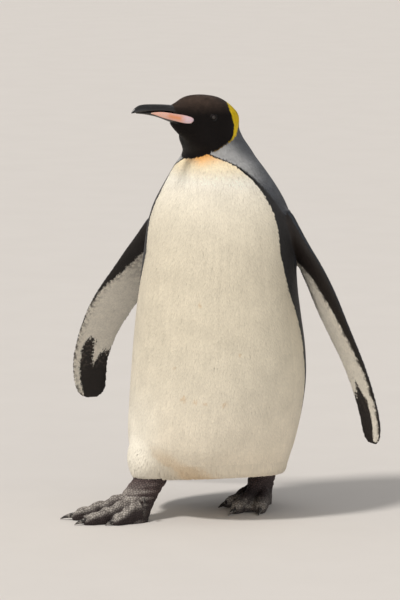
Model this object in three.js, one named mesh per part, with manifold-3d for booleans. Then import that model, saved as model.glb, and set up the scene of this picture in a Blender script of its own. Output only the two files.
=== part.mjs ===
// A life-size king penguin, standing in mid-stride with its head turned to its right.
// Millimetres, +Z up. The bird faces -Y, its left side is +X, and its soles lie on Z = 0.
// The body is a set of lofts joined into one form, then parted with thin cuts where a
// person would name its parts: head, neck, trunk, tail, flippers, legs and feet.
import * as THREE from "three";
import { mergeVertices } from "three/addons/utils/BufferGeometryUtils.js";
import Module from "manifold-3d";

const wasm = await Module();
wasm.setup();

// ---------------------------------------------------------------- driving dimensions

const GAP = 0.3; // between parts that touch

// Trunk and neck: height, then the section's middle x and y, half width, depth in front
// and behind, and how far it is turned to the bird's right, in degrees.
const BODY = [
  [70, -8, -4, 148, 128, 118, 0],
  [110, -8, -8, 156, 136, 126, 0],
  [150, -5, -10, 165, 142, 129, 0],
  [210, 3, -10, 171, 144, 127, 0],
  [270, 9, -10, 173, 142, 122, 0],
  [330, 10, -9, 170, 137, 118, 0],
  [390, 8, -7, 163, 130, 114, 0],
  [440, 6, -3, 157, 121, 111, 0],
  [500, 6, 2, 151, 112, 108, 0],
  [550, 6, 6, 146, 104, 102, 0],
  [590, 5, 9, 136, 95, 95, 0],
  [630, 4, 10, 117, 84, 86, 4],
  [669, 2, 7, 93, 75, 79, 14],
  [700, -3, 1, 69, 58, 77, 26],
  [728, -10, -10, 55, 62, 70, 34],
  [752, -12, -17, 47, 58, 64, 38],
  [775, -12, -18, 38, 46, 51, 38],
];
const BODY_TOP = 770; // hidden inside the head
const HEM_ROUND = 30; // height over which the belly rounds in to its lowest feathers
const HEM_POWER = 2.8;

// Head: forward of the eyes, then the crown's height, the throat's, the half width, and
// the height of the widest place.
const HEAD_AT = [-11, -28, 770]; // midway between the eyes
const HEAD_TURN = 40; // degrees to the bird's right
const HEAD = [
  [-67, 0, -26, 8, -8],
  [-62, 10, -38, 21, -8],
  [-54, 18, -46, 30, -8],
  [-42, 28, -52, 37, -7],
  [-24, 38, -55, 40.5, -6],
  [0, 43, -55, 38, -4],
  [22, 44.5, -52, 33, -3],
  [42, 43, -46, 26, -2],
  [54, 39, -38, 21.5, 0],
  [63, 33.5, -28, 18, 4],
  [72, 29.5, -18, 15, 7],
  [80, 27, -6, 12.5, 10],
];
const EYE = { forward: 4, left: 29.5, up: 3, radius: 8.5 };

// Bill: forward of the eyes, then the height of the culmen, of the closed mouth, and the
// half width.
const UPPER_BILL = [
  [62, 25, 9, 13],
  [84, 27.5, 13.8, 11.5],
  [100, 29, 16, 9.8],
  [120, 30, 16.4, 8],
  [136, 30.2, 16, 6.8],
  [147, 28.5, 15.5, 5.6],
  [156, 23.5, 15, 4],
  [162, 16.8, 14.4, 1.4],
];
// Forward of the eyes, then the height of the closed mouth, of the underside, and the
// half width.
const LOWER_BILL = [
  [38, -1, -15, 21],
  [60, 8.5, -11.5, 18],
  [77, 12, -6.5, 14],
  [90, 14.8, -1.5, 11.6],
  [104, 16.2, 3.8, 9.4],
  [118, 16.4, 7.8, 7.4],
  [136, 16, 11.5, 5],
  [152, 15.4, 13.6, 2.4],
];
// The coloured plate on each side of the lower bill: forward of the eyes, then the height
// of its lower and upper edges, and how far its face stands from the head's middle plane.
const PLATE = [
  [42, -4, 1, 25.5],
  [47, -7.6, 4, 25],
  [60, -7, 8, 20.8],
  [77, -2.6, 11, 16],
  [90, 1, 13.6, 13],
  [104, 5.4, 15.2, 10.6],
  [117, 10.4, 15, 8.4],
  [124, 12.8, 14.2, 7],
];
const PLATE_DEPTH = 5; // how deep it is let into the head and bill

// Flippers: the middle line from inside the shoulder to the tip, and how far the flipper's
// broad face has turned from facing the body to facing forward, in degrees.
const FLIPPERS = {
  left: {
    side: 1,
    spread: 52,
    line: [
      [124, 18, 580],
      [160, 16, 522],
      [193, 14, 470],
      [238, 15, 376],
      [276, 25, 286],
      [299, 38, 199],
      [303, 46, 141],
    ],
  },
  right: {
    side: -1,
    spread: 64,
    line: [
      [-112, 24, 562],
      [-158, 44, 500],
      [-198, 60, 442],
      [-248, 82, 380],
      [-285, 104, 322],
      [-312, 128, 256],
      [-317, 148, 181],
    ],
  },
};
// Share of a flipper's length, then half its chord and half its thickness.
const FLIPPER = [
  [0, 34, 21],
  [0.12, 35, 17],
  [0.25, 40, 12.5],
  [0.38, 44, 10],
  [0.52, 42, 8],
  [0.66, 38, 6.5],
  [0.78, 35.5, 5.2],
  [0.88, 33.5, 4.6],
  [0.94, 30.5, 4],
  [0.98, 22, 3.4],
  [1, 6, 2.6],
];
const REAR_THIN = 0.34; // how much thinner a flipper is towards its rear edge

// Tail: its ends, with half its width and half its thickness at the root, middle and tip.
const TAIL = { root: [-2, 62, 194], tip: [-2, 212, 44], wide: [58, 44, 26], thick: [56, 27, 3] };

// Angle from the middle toe towards the inner side, length to the claw's tip, half width,
// share of the instep's height, and the claw's length. The toes of the leading foot are
// spread and bent as it takes the weight.
const RIGHT_TOES = {
  inner: { angle: 14, length: 98, wide: 13, high: 0.8, claw: 18 },
  middle: { angle: 0, length: 150, wide: 13, high: 0.95, claw: 24 },
  outer: { angle: -22, length: 172, wide: 13, high: 1.1, claw: 29 },
};
const LEFT_TOES = {
  inner: { angle: 25, length: 124, wide: 12, high: 0.86, claw: 22 },
  middle: { angle: 0, length: 176, wide: 13, high: 1, claw: 31 },
  outer: { angle: -19, length: 155, wide: 12, high: 0.92, claw: 25 },
};
// Legs: where each heel stands, how far its middle toe points to the bird's right of
// straight ahead, in degrees, where the bare shank leaves the feathers, and the top of the
// feathered thigh.
const LEGS = {
  right: {
    side: -1,
    heel: [-86, -137, 0],
    turn: 52,
    hem: [-96, -102, 76],
    thigh: [-82, -44, 190],
    toes: RIGHT_TOES,
  },
  left: {
    side: 1,
    heel: [59, 133, 0],
    turn: 6,
    hem: [62, 108, 72],
    thigh: [78, 34, 184],
    toes: LEFT_TOES,
  },
};
// Share of the way down the feathered leg, then half widths along the foot and across it.
const THIGH = [
  [0, 34, 34],
  [0.2, 54, 52],
  [0.5, 62, 57],
  [0.75, 56, 48],
  [0.92, 44, 33],
  [1, 38, 26],
];
const LEG_CUT = { half: 64, side: 36, below: 20, drop: 6 }; // the cut that parts a leg off
// Share of the shank's height, how far ahead of the heel its middle is, and half its size
// along the foot and across it.
const SHANK = [
  [-0.06, 36, 32, 22],
  [0.12, 37, 34, 23],
  [0.35, 34, 36, 22],
  [0.65, 25, 37, 23],
  [1, 7, 35, 25],
];
// Share of a toe's length, then the instep's height, which slopes down to the claws.
const INSTEP = [
  [0, 50],
  [0.28, 47],
  [0.45, 39],
  [0.6, 32.5],
  [0.75, 26],
  [0.9, 20.5],
  [1, 16],
];
const TOE_ROOT = 22; // how far ahead of the heel the toes start
const SOLE_SINK = 0.16; // share of a toe's height that is flattened against the ground
const WEB = { bottom: 2, top: 6, reach: 0.8, hollow: 0.66 }; // its height, then shares of the toes
const CLAW = { base: 5.6, tip: 1, above: 0.6 }; // radii, and the tip's height off the ground
const HIND_CLAW = { forward: 16, across: 16, up: 47, length: 13, radius: 3.4, lean: 6 };

// Where cuts part the head from the neck and the neck from the trunk.
const CUTS = {
  head: { point: [-12, -12, 724], normal: [-0.2, -0.24, 1] },
  trunk: { point: [0, 6, 628], normal: [0, -0.12, 1] },
};

// ---------------------------------------------------------------- helpers

const UP = new THREE.Vector3(0, 0, 1);
const at = (xyz) => new THREE.Vector3(...xyz);
const times = (vector, scale) => vector.clone().multiplyScalar(scale);

// Smooth cubic through rows of [t, value, value, ...]: returns the values at t.
function through(rows, t) {
  const last = rows.length - 1;
  const clamped = Math.min(Math.max(t, rows[0][0]), rows[last][0]);
  let i = 0;
  while (i < last - 1 && clamped > rows[i + 1][0]) i += 1;
  const [a, b] = [rows[i], rows[i + 1]];
  const span = b[0] - a[0];
  const q = (clamped - a[0]) / span;
  const [q2, q3] = [q * q, q * q * q];
  const slope = (j, k) => {
    const [before, after] = [rows[Math.max(j - 1, 0)], rows[Math.min(j + 1, last)]];
    return (span * (after[k] - before[k])) / (after[0] - before[0]);
  };
  return a.slice(1).map((_, n) => {
    const k = n + 1;
    const ends = (2 * q3 - 3 * q2 + 1) * a[k] + (3 * q2 - 2 * q3) * b[k];
    return ends + (q3 - 2 * q2 + q) * slope(i, k) + (q3 - q2) * slope(i + 1, k);
  });
}

// Evenly spread numbers from a to b, both included.
const steps = (a, b, n) => Array.from({ length: n + 1 }, (_, i) => a + ((b - a) * i) / n);

// The angles of a ring's corners.
const corners = (sides) => steps(0, 2 * Math.PI, sides).slice(0, -1);

// An oval ring round a point, from its two half axes.
const ovalRing = (point, a, b, sides) =>
  corners(sides).map((angle) => {
    const reach = a.clone().multiplyScalar(Math.cos(angle));
    return reach.addScaledVector(b, Math.sin(angle)).add(point);
  });

// A manifold from points and triangles, turned to face outwards.
function solid(points, index) {
  const make = (order) => {
    const geometry = new THREE.BufferGeometry().setFromPoints(points).setIndex(order);
    const merged = mergeVertices(geometry, 1e-4);
    const vertProperties = merged.attributes.position.array;
    const triVerts = new Uint32Array(merged.index.array);
    return new wasm.Manifold(new wasm.Mesh({ numProp: 3, vertProperties, triVerts }));
  };
  const made = make(index);
  return made.volume() > 0 ? made : make([...index].reverse());
}

// A closed solid through rings of equally many points, each end closed by a fan.
function loft(rings) {
  const n = rings[0].length;
  const top = (rings.length - 1) * n;
  const points = rings.flat();
  const [first, last] = [points.length, points.length + 1];
  for (const ring of [rings[0], rings[rings.length - 1]]) {
    const middle = new THREE.Vector3();
    for (const point of ring) middle.addScaledVector(point, 1 / n);
    points.push(middle);
  }
  const index = [];
  for (let j = 0; j < n; j += 1) {
    const k = (j + 1) % n;
    index.push(first, k, j, last, top + j, top + k);
    for (let low = 0; low < top; low += n) {
      index.push(low + j, low + k, low + n + k);
      index.push(low + j, low + n + k, low + n + j);
    }
  }
  return solid(points, index);
}

// A manifold from one of the closed three.js geometries.
function fromGeometry(geometry) {
  const flat = geometry.index ? geometry.toNonIndexed() : geometry;
  const points = [];
  for (let i = 0; i < flat.attributes.position.count; i += 1)
    points.push(new THREE.Vector3().fromBufferAttribute(flat.attributes.position, i));
  return solid(points, [...points.keys()]);
}

const joined = (...solids) => solids.reduce((a, b) => a.add(b));

// The largest of a solid's separate bodies, which drops the slivers that a cut can leave.
const largest = (made) => made.decompose().sort((a, b) => b.volume() - a.volume())[0];

// The part of a solid past a plane, on the side that its normal points to.
function past(made, normal, point, gap = 0) {
  const n = normal.clone().normalize();
  return made.trimByPlane([n.x, n.y, n.z], n.dot(point) + gap);
}

const above = (made, cut) => past(made, at(cut.normal), at(cut.point), GAP / 2);
const below = (made, cut) => past(made, at(cut.normal).negate(), at(cut.point), GAP / 2);

// ---------------------------------------------------------------- trunk and neck

function bodyRing(z, grow) {
  const [x, y, wide, front, back, turn] = through(BODY, z);
  const rise = Math.min((z - BODY[0][0]) / HEM_ROUND, 1);
  const tuck = Math.pow(1 - Math.pow(1 - rise, HEM_POWER), 1 / HEM_POWER);
  return corners(30).map((angle) => {
    const depth = Math.sin(angle) < 0 ? front : back;
    const across = (wide * tuck + grow) * Math.cos(angle);
    const along = (depth * tuck + grow) * Math.sin(angle);
    return new THREE.Vector3(across, along, 0)
      .applyAxisAngle(UP, THREE.MathUtils.degToRad(-turn))
      .add(new THREE.Vector3(x, y, z));
  });
}

function bodyLoft(grow = 0) {
  const hem = [0.5, 3, 9, 19, HEM_ROUND].map((rise) => BODY[0][0] + rise);
  const heights = [...hem, ...steps(150, 560, 8), ...steps(590, BODY_TOP, 8)];
  return loft(heights.map((z) => bodyRing(z, grow)));
}

// ---------------------------------------------------------------- head and eyes

const headForward = new THREE.Vector3(0, -1, 0).applyAxisAngle(UP, THREE.MathUtils.degToRad(-HEAD_TURN));
const headLeft = headForward.clone().applyAxisAngle(UP, Math.PI / 2);
const headPoint = (forward, left, up) =>
  at(HEAD_AT).addScaledVector(headForward, forward).addScaledVector(headLeft, left).addScaledVector(UP, up);

// A section of the head or bill, with its widest place at its middle height.
const headRing = (forward, top, middle, bottom, wide, sides) =>
  corners(sides).map((angle) => {
    const rise = Math.sin(angle) > 0 ? top - middle : middle - bottom;
    return headPoint(forward, wide * Math.cos(angle), middle + rise * Math.sin(angle));
  });

function headLoft() {
  const along = [-67, -62, -54, ...steps(-44, 44, 7), 53, 61, 70, 80];
  return loft(
    along.map((forward) => {
      const [top, bottom, wide, middle] = through(HEAD, forward);
      return headRing(forward, top, middle, bottom, wide, 20);
    }),
  );
}

function eyeball(side, grow = 0) {
  const ball = new THREE.SphereGeometry(EYE.radius + grow, 12, 7);
  return fromGeometry(ball.translate(...headPoint(EYE.forward, side * EYE.left, EYE.up)));
}

// ---------------------------------------------------------------- bill

function upperBill(grow = 0) {
  return loft(
    [62, 80, 98, 118, 134, 146, 154, 159, 162].map((forward) => {
      const [culmen, mouth, wide] = through(UPPER_BILL, forward);
      const [top, bottom] = [culmen + grow, mouth + GAP / 2 - grow];
      return headRing(forward, top, THREE.MathUtils.lerp(bottom, top, 0.22), bottom, wide + grow, 12);
    }),
  );
}

function lowerBill(grow = 0) {
  return loft(
    [38, 54, 70, 88, 106, 124, 140, 152].map((forward) => {
      const [mouth, underside, wide] = through(LOWER_BILL, forward);
      const [top, bottom] = [mouth - GAP / 2 + grow, underside - grow];
      return headRing(forward, top, THREE.MathUtils.lerp(bottom, top, 0.62), bottom, wide + grow, 12);
    }),
  );
}

function billPlate(side, grow = 0) {
  return loft(
    steps(PLATE[0][0], PLATE[PLATE.length - 1][0], 8).map((forward) => {
      const [bottom, top, face] = through(PLATE, forward);
      const half = (top - bottom) / 2 + grow;
      return corners(8).map((angle) => {
        const out = (Math.cos(angle) > 0 ? grow : PLATE_DEPTH + grow) * Math.cos(angle);
        return headPoint(forward, side * (face + out), (top + bottom) / 2 + half * Math.sin(angle));
      });
    }),
  );
}

// ---------------------------------------------------------------- flippers

function flipper({ side, spread, line }) {
  const curve = new THREE.CatmullRomCurve3(line.map(at), false, "centripetal");
  const ahead = new THREE.Vector3(0, -1, 0).applyAxisAngle(UP, side * THREE.MathUtils.degToRad(spread));
  return loft(
    [...steps(0, 0.84, 8), 0.9, 0.94, 0.97, 0.99, 1].map((share) => {
      const along = curve.getTangentAt(share);
      const lead = ahead.clone().addScaledVector(along, -ahead.dot(along)).normalize();
      const outer = lead.clone().cross(along).multiplyScalar(side);
      const [chord, thick] = through(FLIPPER, share);
      return corners(14).map((angle) => {
        const out = thick * Math.sin(angle) * (1 - REAR_THIN * (1 - Math.cos(angle)));
        const edge = curve.getPointAt(share).addScaledVector(lead, chord * Math.cos(angle));
        return edge.addScaledVector(outer, out);
      });
    }),
  );
}

// ---------------------------------------------------------------- tail

function tailLoft() {
  const [root, tip, across] = [at(TAIL.root), at(TAIL.tip), new THREE.Vector3(1, 0, 0)];
  const out = across.clone().cross(tip.clone().sub(root)).normalize();
  const between = ([start, middle, end], share) => through([[0, start], [0.5, middle], [1, end]], share)[0];
  const roundFrom = 0.8;
  return loft(
    [0, 0.3, 0.5, 0.65, 0.8, 0.88, 0.95, 1].map((share) => {
      const ending = Math.max(share - roundFrom, 0) / (1.02 - roundFrom);
      const wide = between(TAIL.wide, share) * Math.sqrt(1 - ending * ending);
      const thick = between(TAIL.thick, share);
      return ovalRing(root.clone().lerp(tip, share), times(across, wide), times(out, thick), 14);
    }),
  );
}

// ---------------------------------------------------------------- legs and feet

// A direction in a foot's own plane, turned from its middle toe towards the inner side.
const footDirection = (leg, angle) =>
  new THREE.Vector3(0, -1, 0).applyAxisAngle(UP, THREE.MathUtils.degToRad(-leg.turn - leg.side * angle));

const footPoint = (leg, angle, reach, up) =>
  at(leg.heel).addScaledVector(footDirection(leg, angle), reach).addScaledVector(UP, up);

function thighLoft(leg) {
  return loft(
    [0, 0.08, 0.2, 0.35, 0.5, 0.65, 0.8, 0.92, 1].map((share) => {
      const [long, wide] = through(THIGH, share);
      const point = at(leg.thigh).lerp(at(leg.hem), share);
      return ovalRing(point, times(footDirection(leg, 0), long), times(footDirection(leg, 90), wide), 18);
    }),
  );
}

// The space that parts a leg from the trunk: round the thigh, and open to the outside.
function legSpace(leg, grow) {
  const [hem, thigh] = [at(leg.hem), at(leg.thigh)];
  const outward = hem.clone().setZ(0).normalize();
  const along = outward.clone().cross(UP);
  return loft(
    steps(0, 1, 6).map((share) => {
      const z = THREE.MathUtils.lerp(hem.z - LEG_CUT.below, thigh.z - LEG_CUT.drop + grow, share);
      const down = THREE.MathUtils.clamp((thigh.z - z) / (thigh.z - hem.z), 0, 1);
      const half = LEG_CUT.half * Math.sqrt(1 - Math.pow(share * 0.93, 4)) + grow;
      const point = thigh.clone().lerp(hem, down).setZ(z).addScaledVector(outward, LEG_CUT.side);
      return ovalRing(point, times(along, half), times(outward, half + LEG_CUT.side), 18);
    }),
  );
}

function shankLoft(leg, grow) {
  const [ahead, inward] = [footDirection(leg, 0), footDirection(leg, 90)];
  const top = at(leg.hem).addScaledVector(ahead, -SHANK[SHANK.length - 1][1]);
  return loft(
    SHANK.map(([share, forward, long, wide]) => {
      const point = at(leg.heel).lerp(top, Math.max(share, 0)).addScaledVector(ahead, forward);
      point.z = share * (top.z - GAP);
      return ovalRing(point, times(ahead, long + grow), times(inward, wide + grow), 14);
    }),
  );
}

function toeLoft(leg, toe, grow) {
  const across = footDirection(leg, toe.angle + 90);
  const bare = toe.length - toe.claw * 0.8;
  const roundFrom = 0.84;
  return loft(
    [0, 0.28, 0.56, roundFrom, 0.94, 0.985, 1].map((share) => {
      const ending = Math.max(share - roundFrom, 0) / (1.008 - roundFrom);
      const round = Math.sqrt(1 - ending * ending);
      const high = through(INSTEP, share)[0] * toe.high * (0.35 + 0.65 * round);
      const wide = toe.wide * (0.3 + 0.7 * round) + grow;
      const reach = THREE.MathUtils.lerp(TOE_ROOT, bare, share) + (share === 1 ? grow : 0);
      const point = footPoint(leg, toe.angle, reach, (high * (1 - SOLE_SINK)) / 2);
      return ovalRing(point, times(across, wide), times(UP, (high * (1 + SOLE_SINK)) / 2 + grow), 10);
    }),
  );
}

// The web between two toes, hollowed at its front edge.
function webSolid(leg, toe, other) {
  const middle = (toe.angle + other.angle) / 2;
  const [start, end] = [toe, other].map((t) => footPoint(leg, t.angle, t.length * WEB.reach, 0));
  const inner = footPoint(leg, middle, Math.min(toe.length, other.length) * WEB.hollow, 0);
  const edge = new THREE.QuadraticBezierCurve3(start, inner, end).getPoints(4);
  const outline = [footPoint(leg, middle, TOE_ROOT, 0), ...edge];
  const shape = new THREE.Shape(outline.map((point) => new THREE.Vector2(point.x, point.y)));
  const plate = new THREE.ExtrudeGeometry(shape, { depth: WEB.top - WEB.bottom, bevelEnabled: false });
  return fromGeometry(plate.translate(0, 0, WEB.bottom));
}

function footSolid(leg, grow = 0) {
  const { inner, middle, outer } = leg.toes;
  const toes = [inner, middle, outer].map((toe) => toeLoft(leg, toe, grow));
  const webs = [webSolid(leg, inner, middle), webSolid(leg, middle, outer)];
  return past(joined(shankLoft(leg, grow), ...toes, ...webs), UP, new THREE.Vector3());
}

// A claw bends down from the end of its toe to just above the ground.
function clawLoft(leg, toe) {
  const across = footDirection(leg, toe.angle + 90);
  const root = (INSTEP[INSTEP.length - 1][1] * toe.high) / 2;
  return loft(
    steps(0, 1, 4).map((share) => {
      const radius = THREE.MathUtils.lerp(CLAW.base, CLAW.tip, Math.pow(share, 1.3));
      const up = THREE.MathUtils.lerp(root, radius + CLAW.above, Math.pow(share, 1.5));
      const point = footPoint(leg, toe.angle, toe.length - toe.claw * (1 - share), up);
      return ovalRing(point, times(across, radius * 0.9), times(UP, radius), 7);
    }),
  );
}

// The small hind claw sits on the inner side of the shank and points down.
function hindClaw(leg) {
  const [ahead, inward] = [footDirection(leg, 0), footDirection(leg, 90)];
  const root = at(leg.heel).addScaledVector(ahead, HIND_CLAW.forward);
  return loft(
    steps(0, 1, 3).map((share) => {
      const radius = HIND_CLAW.radius * (1 - 0.8 * share);
      const point = root.clone().addScaledVector(inward, HIND_CLAW.across + HIND_CLAW.lean * share);
      point.z = HIND_CLAW.up - HIND_CLAW.length * share;
      return ovalRing(point, times(ahead, radius), times(inward, radius), 7);
    }),
  );
}

// ---------------------------------------------------------------- nodes

const finish = (color, roughness) => new THREE.MeshStandardMaterial({ color, roughness, metalness: 0 });
const FINISHES = {
  head: finish(0x1d1714, 0.75),
  neck: finish(0x8e8880, 0.8),
  trunk: finish(0xe9e1d3, 0.85),
  tail: finish(0x24201f, 0.8),
  flipper: finish(0x4b4c4e, 0.75),
  leg: finish(0xd9d0c2, 0.85),
  foot: finish(0x3a3030, 0.7),
  claw: finish(0x2a2624, 0.5),
  eye: finish(0x1a100b, 0.08),
  bill: finish(0x17120f, 0.4),
  plate: finish(0xe0875a, 0.35),
};

const penguin = new THREE.Group();

function addNode(name, made, look) {
  const mesh = made.getMesh();
  const geometry = new THREE.BufferGeometry();
  geometry.setAttribute("position", new THREE.BufferAttribute(new Float32Array(mesh.vertProperties), 3));
  geometry.setIndex(new THREE.BufferAttribute(new Uint32Array(mesh.triVerts), 1));
  geometry.computeVertexNormals();
  const node = new THREE.Mesh(geometry, FINISHES[look]);
  node.name = name;
  penguin.add(node);
}

const body = bodyLoft();
const bodyGrown = joined(bodyLoft(GAP), bodyLoft(GAP).translate([0, 0, -GAP]));
const headAndBody = joined(body, headLoft());
const plateSockets = joined(billPlate(1, GAP), billPlate(-1, GAP));
const sockets = joined(upperBill(GAP), lowerBill(GAP), plateSockets, eyeball(1, GAP), eyeball(-1, GAP));

addNode("head", largest(above(headAndBody, CUTS.head).subtract(sockets)), "head");
addNode("neck", above(below(headAndBody, CUTS.head), CUTS.trunk), "neck");
addNode("eye_left", eyeball(1), "eye");
addNode("eye_right", eyeball(-1), "eye");
addNode("bill_upper", upperBill(), "bill");
addNode("bill_lower", largest(lowerBill().subtract(plateSockets)), "bill");
addNode("bill_plate_left", billPlate(1), "plate");
addNode("bill_plate_right", billPlate(-1), "plate");

const thighs = Object.values(LEGS).map(thighLoft);
const trunkAndLegs = joined(below(headAndBody, CUTS.trunk), ...thighs);
const legSpaces = Object.values(LEGS).map((leg) => legSpace(leg, GAP));
addNode("trunk", largest(trunkAndLegs.subtract(joined(...legSpaces))), "trunk");
addNode("tail", largest(tailLoft().subtract(joined(bodyGrown, ...legSpaces))), "tail");

for (const [name, shape] of Object.entries(FLIPPERS)) {
  addNode(`flipper_${name}`, largest(flipper(shape).subtract(bodyGrown)), "flipper");
}

for (const [name, leg] of Object.entries(LEGS)) {
  const footGrown = footSolid(leg, GAP);
  addNode(`leg_${name}`, largest(trunkAndLegs.intersect(legSpace(leg, 0))), "leg");
  addNode(`foot_${name}`, largest(footSolid(leg).subtract(bodyGrown)), "foot");
  for (const [toe, size] of Object.entries(leg.toes)) {
    addNode(`claw_${name}_${toe}`, largest(clawLoft(leg, size).subtract(footGrown)), "claw");
  }
  addNode(`claw_${name}_hind`, largest(hindClaw(leg).subtract(footGrown)), "claw");
}

// The origin is on the ground, under the middle of the whole bird.
const box = new THREE.Box3().setFromObject(penguin);
const middle = box.getCenter(new THREE.Vector3());
penguin.position.set(-middle.x, -middle.y, -box.min.z);

export default penguin;
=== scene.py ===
"""The looks of a life-size king penguin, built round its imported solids.

Sizes are millimetres in the solids' own axes: +Z up, the bird facing -Y, its left side at +X.
Only to_frame() turns them into the frame's metres. The skin and the coat are worked out from
the same shapes as the solids, so those shapes come first.
"""
import math

import bpy
import numpy as np
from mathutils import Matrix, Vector, noise
from mathutils.bvhtree import BVHTree
from mathutils.kdtree import KDTree


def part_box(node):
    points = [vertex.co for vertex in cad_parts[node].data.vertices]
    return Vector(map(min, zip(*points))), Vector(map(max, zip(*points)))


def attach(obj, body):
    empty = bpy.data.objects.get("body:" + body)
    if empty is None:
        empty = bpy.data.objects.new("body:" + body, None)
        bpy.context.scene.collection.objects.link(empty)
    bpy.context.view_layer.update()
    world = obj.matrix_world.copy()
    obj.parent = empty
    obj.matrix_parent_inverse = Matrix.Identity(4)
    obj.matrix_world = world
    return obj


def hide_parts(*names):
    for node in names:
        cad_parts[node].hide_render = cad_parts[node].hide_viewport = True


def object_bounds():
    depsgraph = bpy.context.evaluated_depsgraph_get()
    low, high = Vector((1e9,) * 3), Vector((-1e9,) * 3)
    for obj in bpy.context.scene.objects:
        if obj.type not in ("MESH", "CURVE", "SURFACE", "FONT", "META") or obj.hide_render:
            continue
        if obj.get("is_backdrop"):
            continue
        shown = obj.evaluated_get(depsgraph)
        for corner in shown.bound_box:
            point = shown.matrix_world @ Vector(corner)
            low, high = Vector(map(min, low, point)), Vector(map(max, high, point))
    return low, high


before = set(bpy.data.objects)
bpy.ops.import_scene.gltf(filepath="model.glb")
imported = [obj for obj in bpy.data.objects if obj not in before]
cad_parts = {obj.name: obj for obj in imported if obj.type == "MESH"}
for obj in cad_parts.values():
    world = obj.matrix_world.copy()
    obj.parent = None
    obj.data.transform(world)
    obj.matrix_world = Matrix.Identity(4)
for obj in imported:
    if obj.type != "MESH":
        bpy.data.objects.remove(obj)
cad_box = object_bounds()

BODY_NAME = "root"
SEED = 7

# ---------------------------------------------------------------- the solids' shape

# Height, then the section's middle x and y, half width, depth in front and behind, and turn.
BODY = [
    [70, -8, -4, 148, 128, 118, 0], [110, -8, -8, 156, 136, 126, 0],
    [150, -5, -10, 165, 142, 129, 0], [210, 3, -10, 171, 144, 127, 0],
    [270, 9, -10, 173, 142, 122, 0], [330, 10, -9, 170, 137, 118, 0],
    [390, 8, -7, 163, 130, 114, 0], [440, 6, -3, 157, 121, 111, 0], [500, 6, 2, 151, 112, 108, 0],
    [550, 6, 6, 146, 104, 102, 0], [590, 5, 9, 136, 95, 95, 0], [630, 4, 10, 117, 84, 86, 4],
    [669, 2, 7, 93, 75, 79, 14], [700, -3, 1, 69, 58, 77, 26], [728, -10, -10, 55, 62, 70, 34],
    [752, -12, -17, 47, 58, 64, 38], [775, -12, -18, 38, 46, 51, 38],
]
BODY_TOP = 770
HEM_ROUND = 30  # height over which the belly rounds in to its lowest feathers
HEM_POWER = 2.8

# Forward of the eyes, then the crown's height, the throat's, the half width and its height.
HEAD_AT = np.array([-11.0, -28.0, 770.0])
HEAD_TURN = 40
HEAD = [
    [-67, 0, -26, 8, -8], [-62, 10, -38, 21, -8], [-54, 18, -46, 30, -8], [-42, 28, -52, 37, -7],
    [-24, 38, -55, 40.5, -6], [0, 43, -55, 38, -4], [22, 44.5, -52, 33, -3], [42, 43, -46, 26, -2],
    [54, 39, -38, 21.5, 0], [63, 33.5, -28, 18, 4], [72, 29.5, -18, 15, 7], [80, 27, -6, 12.5, 10],
]
EYE_PLACE = (4, 29.5, 3)  # forward, outward and up
EYE_RADIUS = 8.5

# Forward of the eyes, then the heights of the culmen and closed mouth, and the half width.
UPPER_BILL = [
    [62, 25, 9, 13], [84, 27.5, 13.8, 11.5], [100, 29, 16, 9.8], [120, 30, 16.4, 8],
    [136, 30.2, 16, 6.8], [147, 28.5, 15.5, 5.6], [156, 23.5, 15, 4], [162, 16.8, 14.4, 1.4],
]
# Forward of the eyes, then the heights of the closed mouth and underside, and the half width.
LOWER_BILL = [
    [38, -1, -15, 21], [60, 8.5, -11.5, 18], [77, 12, -6.5, 14], [90, 14.8, -1.5, 11.6],
    [104, 16.2, 3.8, 9.4], [118, 16.4, 7.8, 7.4], [136, 16, 11.5, 5], [152, 15.4, 13.6, 2.4],
]
# Forward of the eyes, then the heights of the plate's lower and upper edges, and how far out.
PLATE = [
    [42, -4, 1, 25.5], [47, -7.6, 4, 25], [60, -7, 8, 20.8], [77, -2.6, 11, 16], [90, 1, 13.6, 13],
    [104, 5.4, 15.2, 10.6], [117, 10.4, 15, 8.4], [124, 12.8, 14.2, 7],
]
PLATE_DEPTH = 5

FLIPPERS = {
    "left": {
        "side": 1,
        "spread": 52,
        "line": [
            [124, 18, 580], [160, 16, 522], [193, 14, 470], [238, 15, 376], [276, 25, 286],
            [299, 38, 199], [303, 46, 141],
        ],
    },
    "right": {
        "side": -1,
        "spread": 64,
        "line": [
            [-112, 24, 562], [-158, 44, 500], [-198, 60, 442], [-248, 82, 380], [-285, 104, 322],
            [-312, 128, 256], [-317, 148, 181],
        ],
    },
}
# Share of a flipper's length, then half its chord and half its thickness.
FLIPPER = [
    [0, 34, 21], [0.12, 35, 17], [0.25, 40, 12.5], [0.38, 44, 10], [0.52, 42, 8], [0.66, 38, 6.5],
    [0.78, 35.5, 5.2], [0.88, 33.5, 4.6], [0.94, 30.5, 4], [0.98, 22, 3.4], [1, 6, 2.6],
]
REAR_THIN = 0.34  # how much thinner a flipper is towards its rear edge
EDGE_THICK = 2.0  # half the least thickness of a flipper's flesh, so that its skin stays whole

TAIL_ROOT = np.array([-2.0, 62.0, 194.0])
TAIL_TIP = np.array([-2.0, 212.0, 44.0])
TAIL_WIDE = [[0, 58], [0.5, 44], [1, 26]]
TAIL_THICK = [[0, 56], [0.5, 27], [1, 3]]

TOE_NAMES = ("inner", "middle", "outer")
TOE_MEASURES = ("angle", "length", "wide", "high", "claw")


def toes(*rows):
    """Each toe: angle from the middle one, length to the claw's tip, half width, height and claw."""
    return {name: dict(zip(TOE_MEASURES, row)) for name, row in zip(TOE_NAMES, rows)}


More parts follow.
